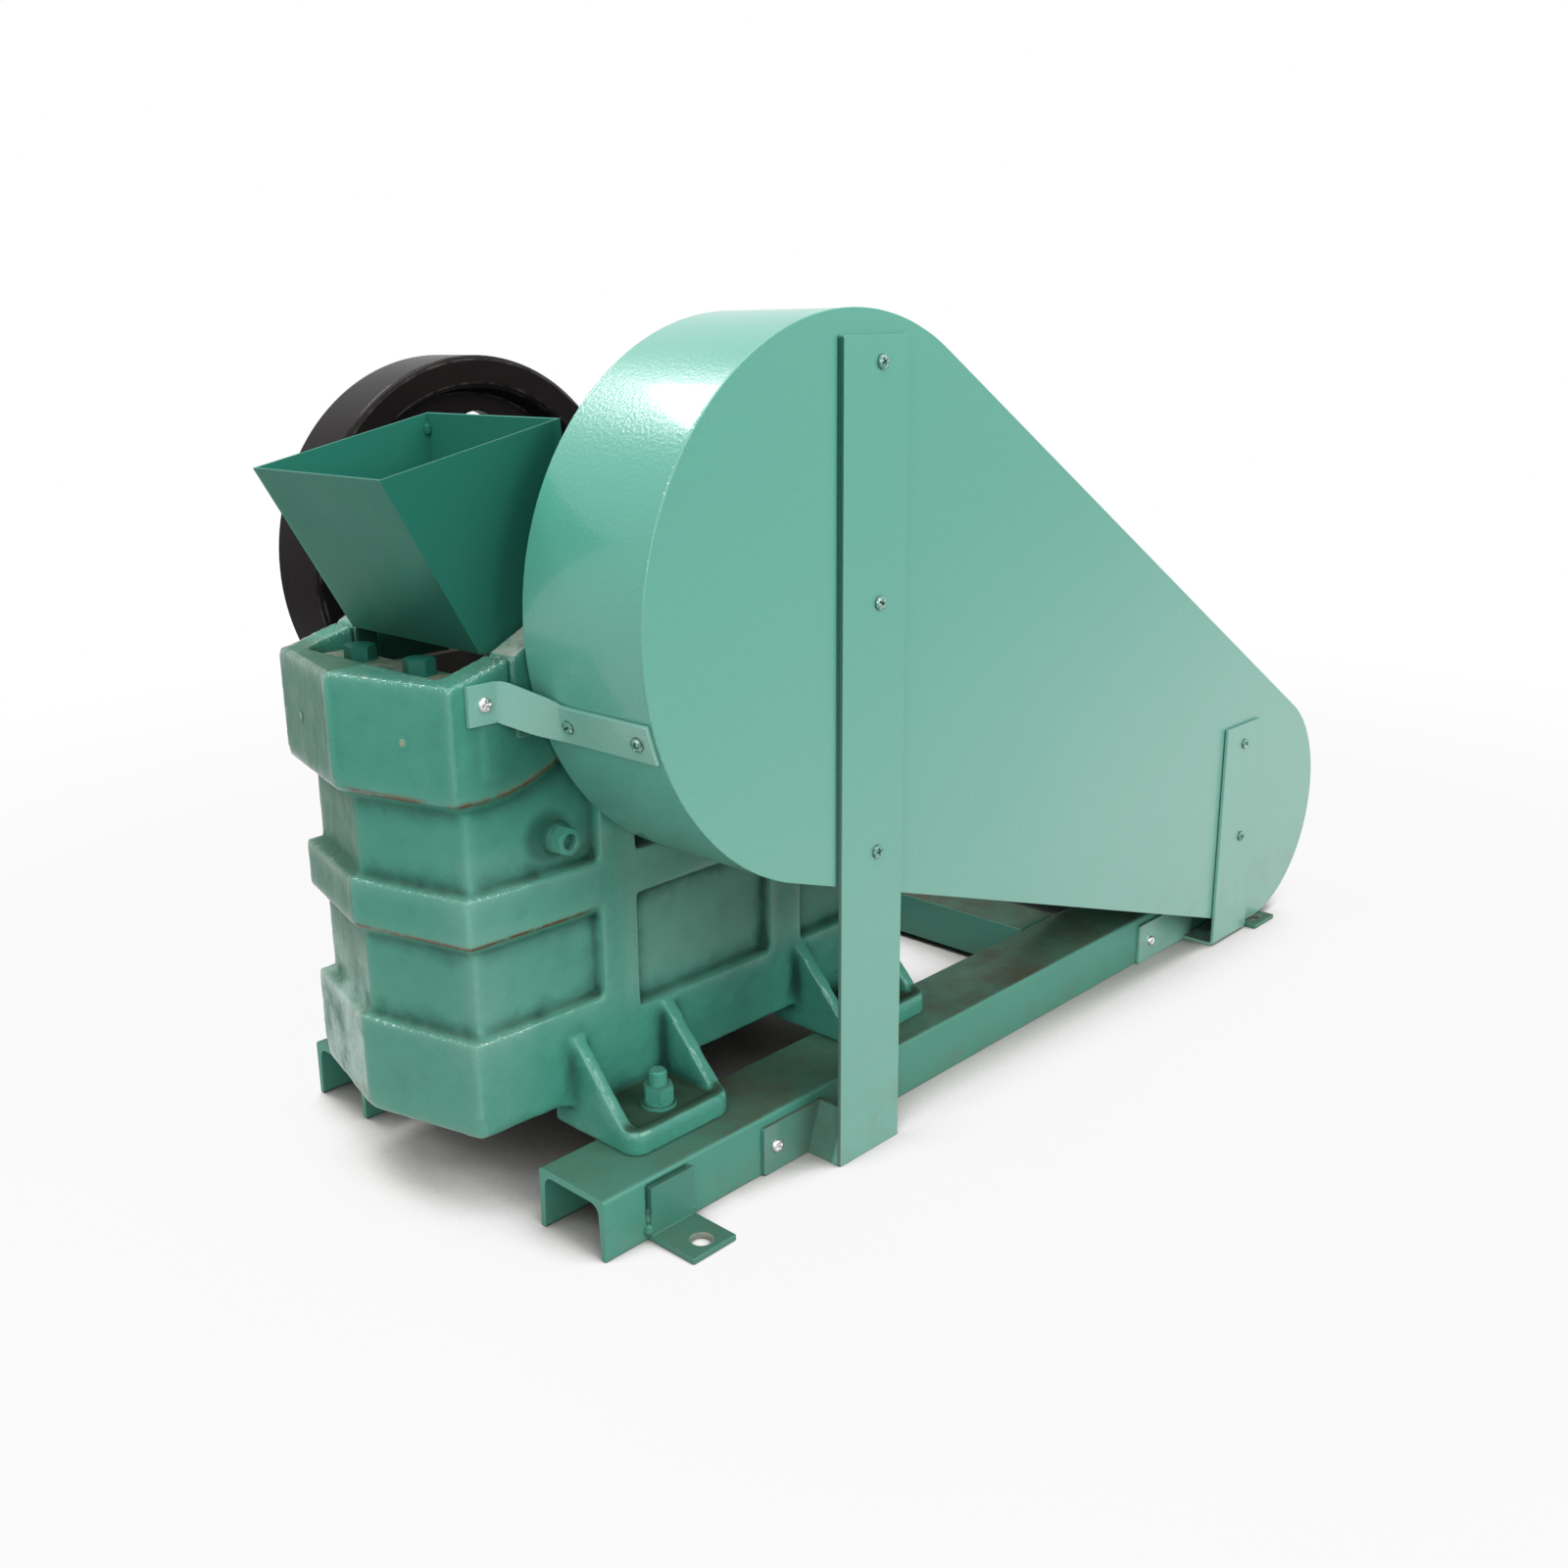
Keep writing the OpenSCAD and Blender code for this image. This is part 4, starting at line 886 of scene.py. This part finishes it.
def band_slope(bm, low, drop, proud=0.0, nose=0.0, steps=8):
    """A sloped underside below a band, whose lower edge is at the height low(x)."""
    pairs = []
    outer, inner = casting_plan(-proud, nose), casting_plan(PANEL_DEPTH + 4 * MM)
    for (o1, o2), (i1, i2) in zip(zip(outer, outer[1:]), zip(inner, inner[1:])):
        for k in range(steps):
            pairs.append((o1.lerp(o2, k / steps), i1.lerp(i2, k / steps)))
    pairs.append((outer[-1], inner[-1]))
    loops = []
    for o, i in pairs:
        z = low(o.x)
        corners = ((o, z + 3 * MM), (i, z + 3 * MM), (i, z - drop), (o, z - 0.5 * MM))
        loops.append([bm.verts.new(p + UP * h) for p, h in corners])
    joined(bm, loops)


def foot_lip(bm, x0, side):
    """A raised lip from gusset to gusset round the outer edge of a foot."""
    start, end, inside, outside = 5 * MM, 86 * MM, 40 * MM, 54 * MM
    middle = casting_middle()
    way = [(start, inside), (start, outside), (end, outside), (end, inside)]
    height = FOOT_TOP - 0.5 * MM
    path = smooth_path([(x0 + x, middle + side * (CASTING_HALF + y), height) for x, y in way], 11 * MM)
    tube(bm, path, 4.4 * MM, 12)


def crusher_body():
    """The casting's skin, with band slopes, foot lips, flash on the bow's corners and a pad under the brace."""
    bm = node_bmesh("crusher_body")
    band_slope(bm, top_band_low, 13 * MM, 2 * MM, 3 * MM)
    band_slope(bm, lambda x: MID_BAND_LOW, 12 * MM)
    front_foot, rear_foot = SHAFT.x - 0.155, SHAFT.x + 0.064
    for x0 in (front_foot, rear_foot):
        for side in (-1, 1):
            foot_lip(bm, x0, side)
    flash_low, flash_high = UP * (TOP_BAND_LOW + 6 * MM), UP * 0.358
    for at, seed in zip(casting_plan(-2 * MM, 3 * MM)[1:4], (3, 5, 7)):
        weld(bm, [at + flash_low, at + flash_high], 1.5 * MM, 50, seed)
    pad_low, pad_high = (-0.440, -0.0866, 0.300), (-0.388, -0.0790, 0.3385)
    solid_box(bm, pad_low, pad_high)
    cast_skin("crusher_body_cast", bm, 2.0 * MM, 5, 0.55 * MM, CASTING_PAINT,
              stands_for=("crusher_body",), soften=lower_front)


def lower_front(co):
    """Where the casting's skin is rounded most: the lower edge of the bow front."""
    back, top = SHAFT.x - 0.162, 78 * MM
    return (co[:, 0] < back) & (co[:, 2] < top)


def plugs():
    """Filled dimples in the top band's front, worn pale in the middle."""
    bm, worn = bmesh.new(), bmesh.new()
    _, near, ridge, far, _ = casting_plan(-2 * MM, 3 * MM)
    for corner, share, z in ((far, 0.62, 0.3215), (near, 0.61, 0.3236)):
        run = (corner - ridge).normalized()
        out = run.cross(UP) if run.cross(UP).x < 0 else -run.cross(UP)
        at = ridge.lerp(corner, share) + UP * z - out * 0.8 * MM
        turned(bm, millimetres((0, 0), (4.6, 0), (4.6, 0.8), (3.8, 1.1), (2.4, 0.9)), at, out, 28)
        turned(worn, millimetres((2.4, 0.9), (1.2, 1.1), (0, 1.1)), at, out, 20)
    show("casting_plugs", bm, CASTING_PAINT, sharp=60)
    show("casting_plug_middles", worn, PLUG_FILLER, sharp=60)


def bearing_blocks():
    """Housings, and their covers with four bolts each."""
    for side in ("near", "far"):
        node = f"bearing_housing_{side}"
        cast_skin(node + "_cast", node_bmesh(node), 2.0 * MM, 4, 0.5 * MM, CASTING_PAINT,
                  stands_for=(node,), most=60000)
        cover = f"bearing_cover_{side}"
        dressed(cover, 1.0 * MM, CASTING_PAINT)
        low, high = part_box(cover)
        out = 1 if side == "far" else -1
        proud, circle_r = 7 * MM, 55 * MM
        face = (low.y if side == "far" else high.y) + out * proud
        bm = bmesh.new()
        for k in range(4):
            turn = radians(45 + 90 * k)
            at = (SHAFT.x + circle_r * math.cos(turn), face, SHAFT.z + circle_r * math.sin(turn))
            bolt(bm, stood(at, (0, out, 0), 13 * k), 10 * MM, 5.5 * MM)
        show(cover + "_bolts", bm, CASTING_PAINT, sharp=30)


def foot_studs():
    """Studs with two washers and a nut on the feet, and their heads under the rails' webs."""
    low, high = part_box("foot_bolts")
    radius, across, reach = 6.2 * MM, 19 * MM, 14 * MM
    bm = bmesh.new()
    for x in (low.x + reach, high.x - reach):
        for y in (low.y + reach, high.y - reach):
            spin = 17 + 900 * x + 400 * y
            washer(bm, stood((x, y, FOOT_TOP), UP), 12.2 * MM, 2.2 * MM, radius)
            washer(bm, stood((x, y, FOOT_TOP + 2.2 * MM), UP), 10.2 * MM, 2.4 * MM, radius)
            hexagon(bm, stood((x, y, FOOT_TOP + 4.6 * MM), UP, spin), across, 10.6 * MM, radius * 0.98)
            stud(bm, stood((x, y, FOOT_TOP), UP), radius, high.z - FOOT_TOP - 2.5 * MM, 1.75 * MM)
            hexagon(bm, stood((x, y, low.z + 0.2 * MM), -UP, spin), across, 8.5 * MM)
    show("foot_studs", bm, CASTING_PAINT, stands_for=("foot_bolts",), sharp=30)


def side_nut():
    """Hollow nut on its boss in the near side panel."""
    at = Vector((-0.3815, -0.0785, 0.248))
    out = NEAR
    bm = bmesh.new()
    turned(bm, millimetres((0, -4), (11.5, -4), (11.0, 1.5), (9.5, 3), (5, 3)), at, out, 40)
    hexagon(bm, stood(at + out * 3 * MM, out, 8), 17 * MM, 10 * MM, 5.2 * MM)
    turned(bm, [(5.2 * MM, 0), (0, 0)], at + out * 6 * MM, out, 24)
    show("side_nut", bm, CASTING_PAINT, sharp=30)


# Jaws and linkage


def jaws():
    """Clamp bar and bolts, jaw and cheek plates, swing jaw, toggle and tension rod."""
    low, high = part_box("jaw_clamp_bar")
    bar_top, bolt_in, bolt_apart = high.z - 11 * MM, 13.8 * MM, 65.8 * MM
    bm = bmesh.new()
    solid_box(bm, low, (high.x, high.y, bar_top))
    cast_skin("jaw_clamp_bar_rough", bm, 1.3 * MM, 3, 0.9 * MM, DUSTY_CLAMP,
              stands_for=("jaw_clamp_bar",))
    bm = bmesh.new()
    for s in (-1, 1):
        at = (low.x + bolt_in, (low.y + high.y) / 2 + s * bolt_apart / 2, bar_top - 0.6 * MM)
        bolt(bm, stood(at, UP, 20 + 34 * s), 18 * MM, 9.0 * MM, 11 * MM)
    # The bolts take the darker hopper paint as painted shade, for they sit under the hopper.
    show("jaw_clamp_bolts", bm, HOPPER_PAINT, sharp=30)
    for node in ("fixed_jaw_plate", "swing_jaw_plate"):
        dressed(node, 1.6 * MM, JAW_STEEL)
    for node in ("cheek_plate_near", "cheek_plate_far", "toggle_plate"):
        dressed(node, 1.0 * MM, JAW_STEEL)
    cast_skin("swing_jaw_cast", node_bmesh("swing_jaw"), 3 * MM, 3, 0.6 * MM, CASTING_PAINT,
              stands_for=("swing_jaw",), most=90000)
    dressed("toggle_block", 1.5 * MM, CASTING_PAINT)
    dressed("tension_rod", 0.6 * MM, BRIGHT_STEEL)


def tension_spring():
    """A coil whose end turns lie closed."""
    low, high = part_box("tension_spring")
    middle = (low + high) / 2
    wire, turns, steps = 1.7 * MM, 7.0, 26
    coil = (high.z - low.z) / 2 - wire
    bm = bmesh.new()
    count = int(turns * steps)
    points = []
    for k in range(count + 1):
        share = k / count
        along = low.x + wire + (high.x - low.x - 2 * wire) * min(1.0, max(0.0, share * 1.12 - 0.06))
        turn = 2 * math.pi * turns * share
        points.append((along, middle.y + coil * math.cos(turn), middle.z + coil * math.sin(turn)))
    tube(bm, points, wire, 10)
    show("tension_spring_coil", bm, SPRING_STEEL, stands_for=("tension_spring",), sharp=180)


# The hopper


def hopper():
    """The sheet hopper, with a tack at each back corner and a bead down each front corner."""
    dressed("hopper", 0.5 * MM, HOPPER_PAINT)
    low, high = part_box("hopper")
    bm = bmesh.new()
    back, front_foot, inner = SHAFT.x - 0.124, SHAFT.x - 0.189, 3 * MM
    for y, seed in ((low.y + inner, 3), (high.y - inner, 4)):
        weld(bm, [(back, y, high.z - 7 * MM), (back + 0.4 * MM, y, high.z - 15 * MM)], 2.6 * MM, 12, seed)
        weld(bm, [(low.x + 6 * MM, y, 0.474), (front_foot, y, 0.374)], 1.6 * MM, 60, seed + 5)
    show("hopper_welds", bm, HOPPER_PAINT, sharp=180)


# The belt guard


def teardrop(extra, steps=72):
    """Outline of the guard's face as X, Z pairs: two arcs joined by their outer tangents."""
    low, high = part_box("guard_face")
    small = 107 * MM
    big = high.z - SHAFT.z
    far = Vector((high.x - small, low.z + small))
    near = Vector((SHAFT.x, SHAFT.z))
    run = far - near
    base = math.atan2(run.y, run.x)
    swing = math.acos((big - small) / run.length)
    outline = []
    arcs = (
        (near, big + extra, base + swing, 2 * math.pi - 2 * swing),
        (far, small + extra, base - swing, 2 * swing),
    )
    for middle, radius, start, sweep in arcs:
        for k in range(steps + 1):
            turn = start + sweep * k / steps
            outline.append((middle.x + radius * math.cos(turn), middle.y + radius * math.sin(turn)))
    return outline


def guard_face():
    """The teardrop sheet with a soft, slightly nicked edge, and the rim behind it."""
    low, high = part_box("guard_face")
    bm = bmesh.new()
    layer = bm.verts.layers.float.new("edge")
    ease, proud, back = 0.7 * MM, 0.3 * MM, 0.3 * MM
    rings = []
    section = (
        (low.y, -ease), (low.y + ease * 0.3, -ease * 0.3), (low.y + ease, 0), (high.y - back, 0), (high.y, -back),
    )
    for y, extra in section:
        ring = []
        for x, z in teardrop(proud + extra):
            nick = noise.noise(Vector((x, 0, z)) * 90) * 0.12 * MM
            v = bm.verts.new((x + nick, y, z + nick))
            v[layer] = 1.0 if extra > -ease * 0.5 else 0.0
            ring.append(v)
        rings.append(ring)
    joined(bm, rings, caps=False)
    bm.faces.new(rings[0])
    bm.faces.new(rings[-1][::-1])
    show("guard_face_sheet", bm, GUARD_PAINT, stands_for=("guard_face",), sharp=60, weight=True)
    dressed("guard_rim", 0.5 * MM, GUARD_PAINT)


def folded_sheet(name, bm, node):
    """Eases a leg's edges and shows it in place of its node."""
    bmesh.ops.recalc_face_normals(bm, faces=bm.faces)
    ease_edges(bm, 0.4 * MM, 35)
    show(name, bm, GUARD_PAINT, stands_for=(node,), sharp=50, weight=True)


def guard_legs():
    """Straps up the guard's face: the front one folded to the rail by a leaning web, the rear by a floor foot."""
    face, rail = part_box("guard_face")[0].y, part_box("base_rail_near")[0].y
    wide, lean, tall = 63 * MM, 13 * MM, 36 * MM
    outer, inner = face - SHEET - STRAP_GAP, face - 1.2 * STRAP_GAP

    def plate(bm, outline, x, *depths):
        drawn(bm, outline, [(Vector((x, y, 0)), ALONG, UP) for y in depths])

    low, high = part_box("guard_leg_front")
    bm = bmesh.new()
    strip = rounded([(0, 0, 1 * MM), (wide, 0, 1 * MM), (wide, high.z, 1.5 * MM), (0, high.z, 1.5 * MM)])
    plate(bm, strip, STRAP_LEFT, outer, inner)
    web = [(0, 0), (SHEET, 0), (SHEET + lean, tall), (lean, tall)]
    plate(bm, web, STRAP_LEFT, inner - 0.5 * MM, rail - 0.6 * MM)
    left, right = low.x - STRAP_LEFT, SHEET - 0.5 * MM
    flange_top = SHEET + lean - 0.5 * MM
    flange = rounded([(left, 0, 2 * MM), (right, 0, 0), (flange_top, tall, 0), (left, tall, 2.5 * MM)])
    plate(bm, flange, STRAP_LEFT, rail - SHEET, rail)
    folded_sheet("guard_leg_front_folded", bm, "guard_leg_front")

    low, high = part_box("guard_leg_rear")
    bm = bmesh.new()
    foot_end, flange_wide = rail - SHEET + 0.4 * MM, 95 * MM
    bent = rounded([
        (outer, 0, 4.5 * MM), (foot_end, 0, 0.5 * MM), (foot_end, SHEET, 0.5 * MM),
        (inner, SHEET, 1.5 * MM), (inner, high.z, 0.5 * MM), (outer, high.z, 0.5 * MM),
    ])
    drawn(bm, bent, [(Vector((x, 0, 0)), ACROSS, UP) for x in (high.x - wide, high.x)])
    flange = rounded([(0, 0, 1 * MM), (flange_wide, 0, 1 * MM), (flange_wide, tall, 3 * MM), (0, tall, 3 * MM)])
    plate(bm, flange, low.x, rail - SHEET, rail)
    folded_sheet("guard_leg_rear_bent", bm, "guard_leg_rear")


def smooth_path(points, radius, steps=8):
    """Points with each inner corner replaced by a curve that starts radius before it."""
    points = [Vector(p) for p in points]
    radii = radius if hasattr(radius, "__len__") else [radius] * (len(points) - 2)
    path = [points[0]]
    for last, here, following, reach in zip(points, points[1:], points[2:], radii):
        a = here + (last - here).normalized() * min(reach, (last - here).length * 0.48)
        b = here + (following - here).normalized() * min(reach, (following - here).length * 0.48)
        for k in range(steps + 1):
            t = k / steps
            path.append(a.lerp(here, t).lerp(here.lerp(b, t), t))
    return path + [points[-1]]


def guard_brace():
    """Flat bar folded flat on the casting's top band, twisted, and folded along the guard's rim."""
    low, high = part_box("guard_brace")
    half = 12.5 * MM
    drop = BRACE_REACH * math.sin(BRACE_TILT)
    rim = Vector((SHAFT.x - BRACE_REACH * math.cos(BRACE_TILT), 0, SHAFT.z - drop))
    band_y, fold_x = high.y - 1.5 * MM, SHAFT.x - 0.200
    corners = [
        (low.x, band_y, BRACE_HEIGHT), (fold_x, band_y - 0.8 * MM, BRACE_HEIGHT),
        (rim.x - 3 * MM, band_y - 21 * MM, rim.z + 1.5 * MM),
        (rim.x, band_y - 33 * MM, rim.z), (rim.x, low.y, rim.z),
    ]
    path = smooth_path(corners, (4 * MM, 10 * MM, 9 * MM))
    section = rounded([(u * SHEET / 2, v * half, 0.5 * MM) for u, v in ((-1, -1), (1, -1), (1, 1), (-1, 1))], 2)
    places = []
    last = len(path) - 1
    for i, p in enumerate(path):
        run = (path[min(i + 1, last)] - path[max(i - 1, 0)]).normalized()
        share = min(1.0, max(0.0, (p.x - fold_x) / (rim.x - fold_x)))
        lean = BRACE_TILT * share
        wide = Vector((-math.sin(lean), 0, math.cos(lean)))
        out = wide.cross(run).normalized()
        places.append((p, out, run.cross(out).normalized()))
    bm = drawn(bmesh.new(), section, places)
    show("guard_brace_bent", bm, BRACE_PAINT, stands_for=("guard_brace",), sharp=40, weight=True)


def guard_screws():
    """Cross-head screws: painted over on the straps and rim, bright on the rail and casting."""
    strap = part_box("guard_face")[0].y - 3.9 * MM
    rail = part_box("base_rail_near")[0].y - SHEET
    out = Vector((-math.cos(BRACE_TILT), 0, -math.sin(BRACE_TILT)))
    rim = Vector((SHAFT.x, 0, SHAFT.z)) + out * (BRACE_REACH + SHEET / 2)
    painted = [((-0.207, strap, z), NEAR) for z in (0.538, 0.389, 0.2215)]
    painted += [((0.320, strap, 0.1887), NEAR), ((0.326, strap, 0.099), NEAR)]
    painted += [((rim.x, y, rim.z), out) for y in (-0.1195, -0.1805)]
    bare = [((-0.275, rail, 0.019), NEAR), ((0.226, rail, 0.017), NEAR)]
    bare += [((SHAFT.x - 0.211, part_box("guard_brace")[1].y - 3.3 * MM, BRACE_HEIGHT), NEAR)]
    for name, group, finish, slot in (
        ("guard_screws_painted", painted, WORN_SCREW, "guard_paint"),
        ("guard_screws_zinc", bare, ZINC_PLATE, "bright_steel"),
    ):
        bm = bmesh.new()
        for k, (at, way) in enumerate(group):
            cross_screw(bm, stood(at, way, 25 + 37 * k))
        show(name, bm, finish, sharp=60)


# Shaft, wheels and drive


def rotor():
    """What turns: flywheel, pulley and shaft, and the flywheel's key."""
    dressed("flywheel", 1.4 * MM, WHEEL_BLACK, "rotor")
    dressed("driven_pulley", 0.8 * MM, WHEEL_BLACK, "rotor")
    dressed("eccentric_shaft", 0.6 * MM, BRIGHT_STEEL, "rotor")
    shaft_end, wheel_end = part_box("eccentric_shaft")[1].y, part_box("flywheel")[1].y
    bm = bmesh.new()
    key = millimetres((-4, 20), (4, 20), (4, 29), (-4, 29))
    ends = (wheel_end - 12 * MM, shaft_end - 4 * MM)
    drawn(bm, key, [(Vector((SHAFT.x, y, SHAFT.z)), ALONG, UP) for y in ends])
    show("flywheel_key", bm, BRIGHT_STEEL, "rotor", sharp=30)


def belts():
    """The belts, and the motor's pulley that they run on."""
    bm = ease_edges(node_bmesh("drive_belts"), 0.6 * MM, 35)
    show("drive_belts_wrapped", bm, BELT_RUBBER, stands_for=("drive_belts",), sharp=60)
    dressed("motor_pulley", 0.8 * MM, WHEEL_BLACK)


# The motor


def motor():
    """The motor, its terminal box with screws and gland, and its foot bolts on the plate."""
    dressed("motor_body", 0.6 * MM, FRAME_PAINT)
    dressed("motor_terminal_box", 1.4 * MM, FRAME_PAINT)
    dressed("motor_plate", 0.9 * MM, FRAME_PAINT)
    dressed("cross_angle", 0.9 * MM, FRAME_PAINT)
    low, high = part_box("motor_terminal_box")
    bm = bmesh.new()
    inset = 9 * MM
    for x in (low.x + inset, high.x - inset):
        for y in (low.y + inset, high.y - inset):
            cross_screw(bm, stood((x, y, high.z), UP, 700 * x + 300 * y), 4 * MM)
    gland = Vector((high.x - 2 * MM, (low.y + high.y) / 2, low.z + 16 * MM))
    hexagon(bm, stood(gland, ALONG), 22 * MM, 6 * MM)
    turned(bm, millimetres((10, 5), (10, 9), (8.5, 12), (0, 12)), gland, ALONG, 32)
    show("motor_box_fittings", bm, FRAME_PAINT, sharp=40)
    foot_low, foot_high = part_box("motor_body")
    bm = bmesh.new()
    middle = (foot_low.x + foot_high.x) / 2
    foot_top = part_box("motor_plate")[1].z + 10 * MM
    reach, rows = 69 * MM, (-45 * MM, 70 * MM)
    for s in (-1, 1):
        for y in rows:
            bolt(bm, stood((middle + s * reach, y, foot_top), UP, 12 * s), 13 * MM, 6.5 * MM, 9 * MM)
    show("motor_foot_bolts", bm, ZINC_PLATE, sharp=30)


def fan_cover():
    """Pressed cover with an open grille of rings and spokes over the fan."""
    low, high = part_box("motor_fan_cover")
    middle = Vector(((low.x + high.x) / 2, low.y, (low.z + high.z) / 2))
    deep, radius, sheet = high.y - low.y, (high.x - low.x) / 2, 1.5 * MM
    mouth, bend = 58 * MM, 10 * MM
    turns = [radians(t) for t in range(90, -1, -15)]
    arc = [(radius - bend + bend * math.sin(t), deep - bend + bend * math.cos(t)) for t in turns]
    inner = [(r - sheet * (r - radius + bend) / bend, a - sheet) for r, a in reversed(arc)]
    bm = bmesh.new()
    lip = [(mouth, deep), (mouth, deep - sheet)]
    turned(bm, [(radius, 0), *arc, *lip, *inner, (radius - sheet, 0), (radius, 0)], middle, ACROSS, 72)
    face = middle + Vector((0, deep - 1.6 * MM, 0))
    for ring in (12, 21, 30, 39, 48, 57):
        turn = [2 * math.pi * k / 64 for k in range(64)]
        tube(bm, [face + ring * MM * Vector((math.cos(t), 0, math.sin(t))) for t in turn], 1.5 * MM, 8, True)
    for k in range(4):
        way = Vector((math.cos(radians(45 + 90 * k)), 0, math.sin(radians(45 + 90 * k))))
        tube(bm, [face + way * 10 * MM, face + way * 60 * MM], 1.7 * MM, 8)
    show("motor_fan_cover_grille", bm, FRAME_PAINT, stands_for=("motor_fan_cover",), sharp=40)
    bm = bmesh.new()
    turned(bm, millimetres((0, 6), (16, 6), (16, 30), (9, 33), (0, 33)), middle, ACROSS, 40)
    blade, blades = millimetres((-1.2, 8), (1.2, 8), (1.2, 30), (-1.2, 30)), 7
    for k in range(blades):
        turn = radians(360 / blades * k)
        way = Vector((math.cos(turn), 0, math.sin(turn)))
        side = way.cross(ACROSS)
        drawn(bm, blade, [(middle + way * r, side, ACROSS) for r in (14 * MM, 62 * MM)])
    show("motor_fan", bm, WHEEL_BLACK, sharp=40)


# Putting it together

GUARD_PAINT, CASTING_PAINT = guard_paint(), casting_paint()
FRAME_PAINT, HOPPER_PAINT = frame_paint(), hopper_paint()
WHEEL_BLACK, JAW_STEEL, BRIGHT_STEEL, ZINC_PLATE = wheel_black(), jaw_steel(), bright_steel(), zinc_plate()
SPRING_STEEL, BELT_RUBBER, DUSTY_CLAMP, WORN_SCREW = spring_steel(), belt_rubber(), dusty_clamp(), worn_screw()
PLUG_FILLER = plug_filler()
# The brace gets the guard paint with extra painted sheen, so it renders paler.
BRACE_PAINT = guard_paint("brace_paint", 0.16)

for make in (
    rails, anchor_tabs, crusher_body, plugs, bearing_blocks, foot_studs, side_nut, jaws, tension_spring, hopper,
    guard_face, guard_legs, guard_brace, guard_screws, rotor, belts, motor, fan_cover,
):
    make()
for node in ("bearing_near", "bearing_far"):
    frame["nodes"][node].data.materials.clear()
    frame["nodes"][node].data.materials.append(BRIGHT_STEEL)


# Floor, light and camera


def white_room():
    """White to the camera, to gloss and through glass; a plain soft level to everything else."""
    room = Finish("white_room", bpy.data.worlds)
    bpy.context.scene.world = room.material
    seen = white_rays(room)
    soft = room.node("Background", sockets={"Color": (1.0, 1.0, 1.0), "Strength": ROOM_LEVEL})
    white = room.node("Background", sockets={"Color": (1.0, 1.0, 1.0), "Strength": 1.0})
    both = room.node("MixShader", sockets={0: seen, 1: soft, 2: white})
    room.node("OutputWorld", sockets={"Surface": both})


def white_rays(finish):
    """1 for the rays that see white: from the camera, off gloss and through glass."""
    path = finish.node("LightPath").socket.node
    seen = ("Is Camera Ray", "Is Glossy Ray", "Is Transmission Ray")
    from_camera, glossy, through = (Val(finish, path.outputs[name]) for name in seen)
    return from_camera.most(glossy).most(through)


def pale_floor():
    """Pale ground, white to the eye where it lies open and shaded where the machine stands over it."""
    f = Finish("pale_floor")
    white = f.node("Emission", sockets={"Color": (1.0, 1.0, 1.0), "Strength": 1.0})
    distance = f.node("VectorMath", {"operation": "LENGTH"}, {0: f.place()}, out=1)
    open_air = f.node("AmbientOcclusion", {"samples": 16}, {"Distance": 0.22}, out=1)
    shade = f.mix(open_air.step(0.05, 0.28), (0.085, 0.078, 0.066), (0.42, 0.41, 0.39))
    pale = f.node("BsdfDiffuse", sockets={"Color": shade, "Roughness": 0.0})
    share = open_air.step(0.34, 0.66) * (FLOOR_WHITE + distance.step(0.7, 1.7) * (1.0 - FLOOR_WHITE))
    material = f.end(f.node("MixShader", sockets={0: white_rays(f) * share, 1: pale, 2: white}))
    bm = bmesh.new()
    bmesh.ops.create_circle(bm, cap_ends=True, segments=96, radius=12.0)
    mesh = bpy.data.meshes.new("floor")
    bm.to_mesh(mesh)
    bm.free()
    mesh.materials.append(material)
    floor = bpy.data.objects.new("floor", mesh)
    floor.location.z = -0.2 * MM
    bpy.context.scene.collection.objects.link(floor)


def softbox(name, at, towards, wide, tall, watts):
    """A flat lamp, turned towards a point and hidden from the camera."""
    light = bpy.data.lights.new(name, "AREA")
    light.shape, light.size, light.size_y, light.energy = "RECTANGLE", wide, tall, watts
    lamp = bpy.data.objects.new(name, light)
    lamp.location = at
    lamp.rotation_euler = (Vector(towards) - Vector(at)).to_track_quat("-Z", "Y").to_euler()
    lamp.visible_camera = False
    bpy.context.scene.collection.objects.link(lamp)


def camera():
    """The photograph's view: its place, its aim and its lens, for a square frame of 1600 pixels."""
    at = Vector((-0.96802, -0.81283, 0.56016))
    yaw, pitch, roll = radians(45.4415), radians(15.9213), radians(-0.9162)
    focal, middle, side = 1572.233, (746.326, 781.4305), 1600
    ahead = Vector((math.sin(yaw) * math.cos(pitch), math.cos(yaw) * math.cos(pitch), -math.sin(pitch)))
    level = Vector((math.cos(yaw), -math.sin(yaw), 0))
    upright = level.cross(ahead)
    right = math.cos(roll) * level + math.sin(roll) * upright
    top = -math.sin(roll) * level + math.cos(roll) * upright
    data = bpy.data.cameras.new("photo_view")
    data.sensor_fit, data.sensor_width, data.lens = "HORIZONTAL", 36.0, 36.0 * focal / side
    data.shift_x, data.shift_y = (side / 2 - middle[0]) / side, (middle[1] - side / 2) / side
    eye = bpy.data.objects.new("photo_view", data)
    eye.matrix_world = Matrix((
        (right.x, top.x, -ahead.x, at.x), (right.y, top.y, -ahead.y, at.y),
        (right.z, top.z, -ahead.z, at.z), (0, 0, 0, 1),
    ))
    bpy.context.scene.collection.objects.link(eye)
    bpy.context.scene.camera = eye


white_room()
pale_floor()
middle = Vector((-0.05, -0.05, 0.25))
softbox("roof_window", (-0.506, 1.546, 2.46), (-0.35, -0.17, 0.52), 0.84, 0.50, 30)
softbox("front_left", middle + Vector((-2.2, -1.1, 1.3)), middle, 2.6, 2.4, 38)
softbox("front_right", middle + Vector((0.3, -2.4, 1.3)), middle, 2.0, 1.6, 42)
softbox("ceiling", middle + Vector((-0.3, 0.0, 2.3)), middle, 1.6, 1.6, 23)
camera()
bpy.context.scene.view_settings.view_transform = "Standard"
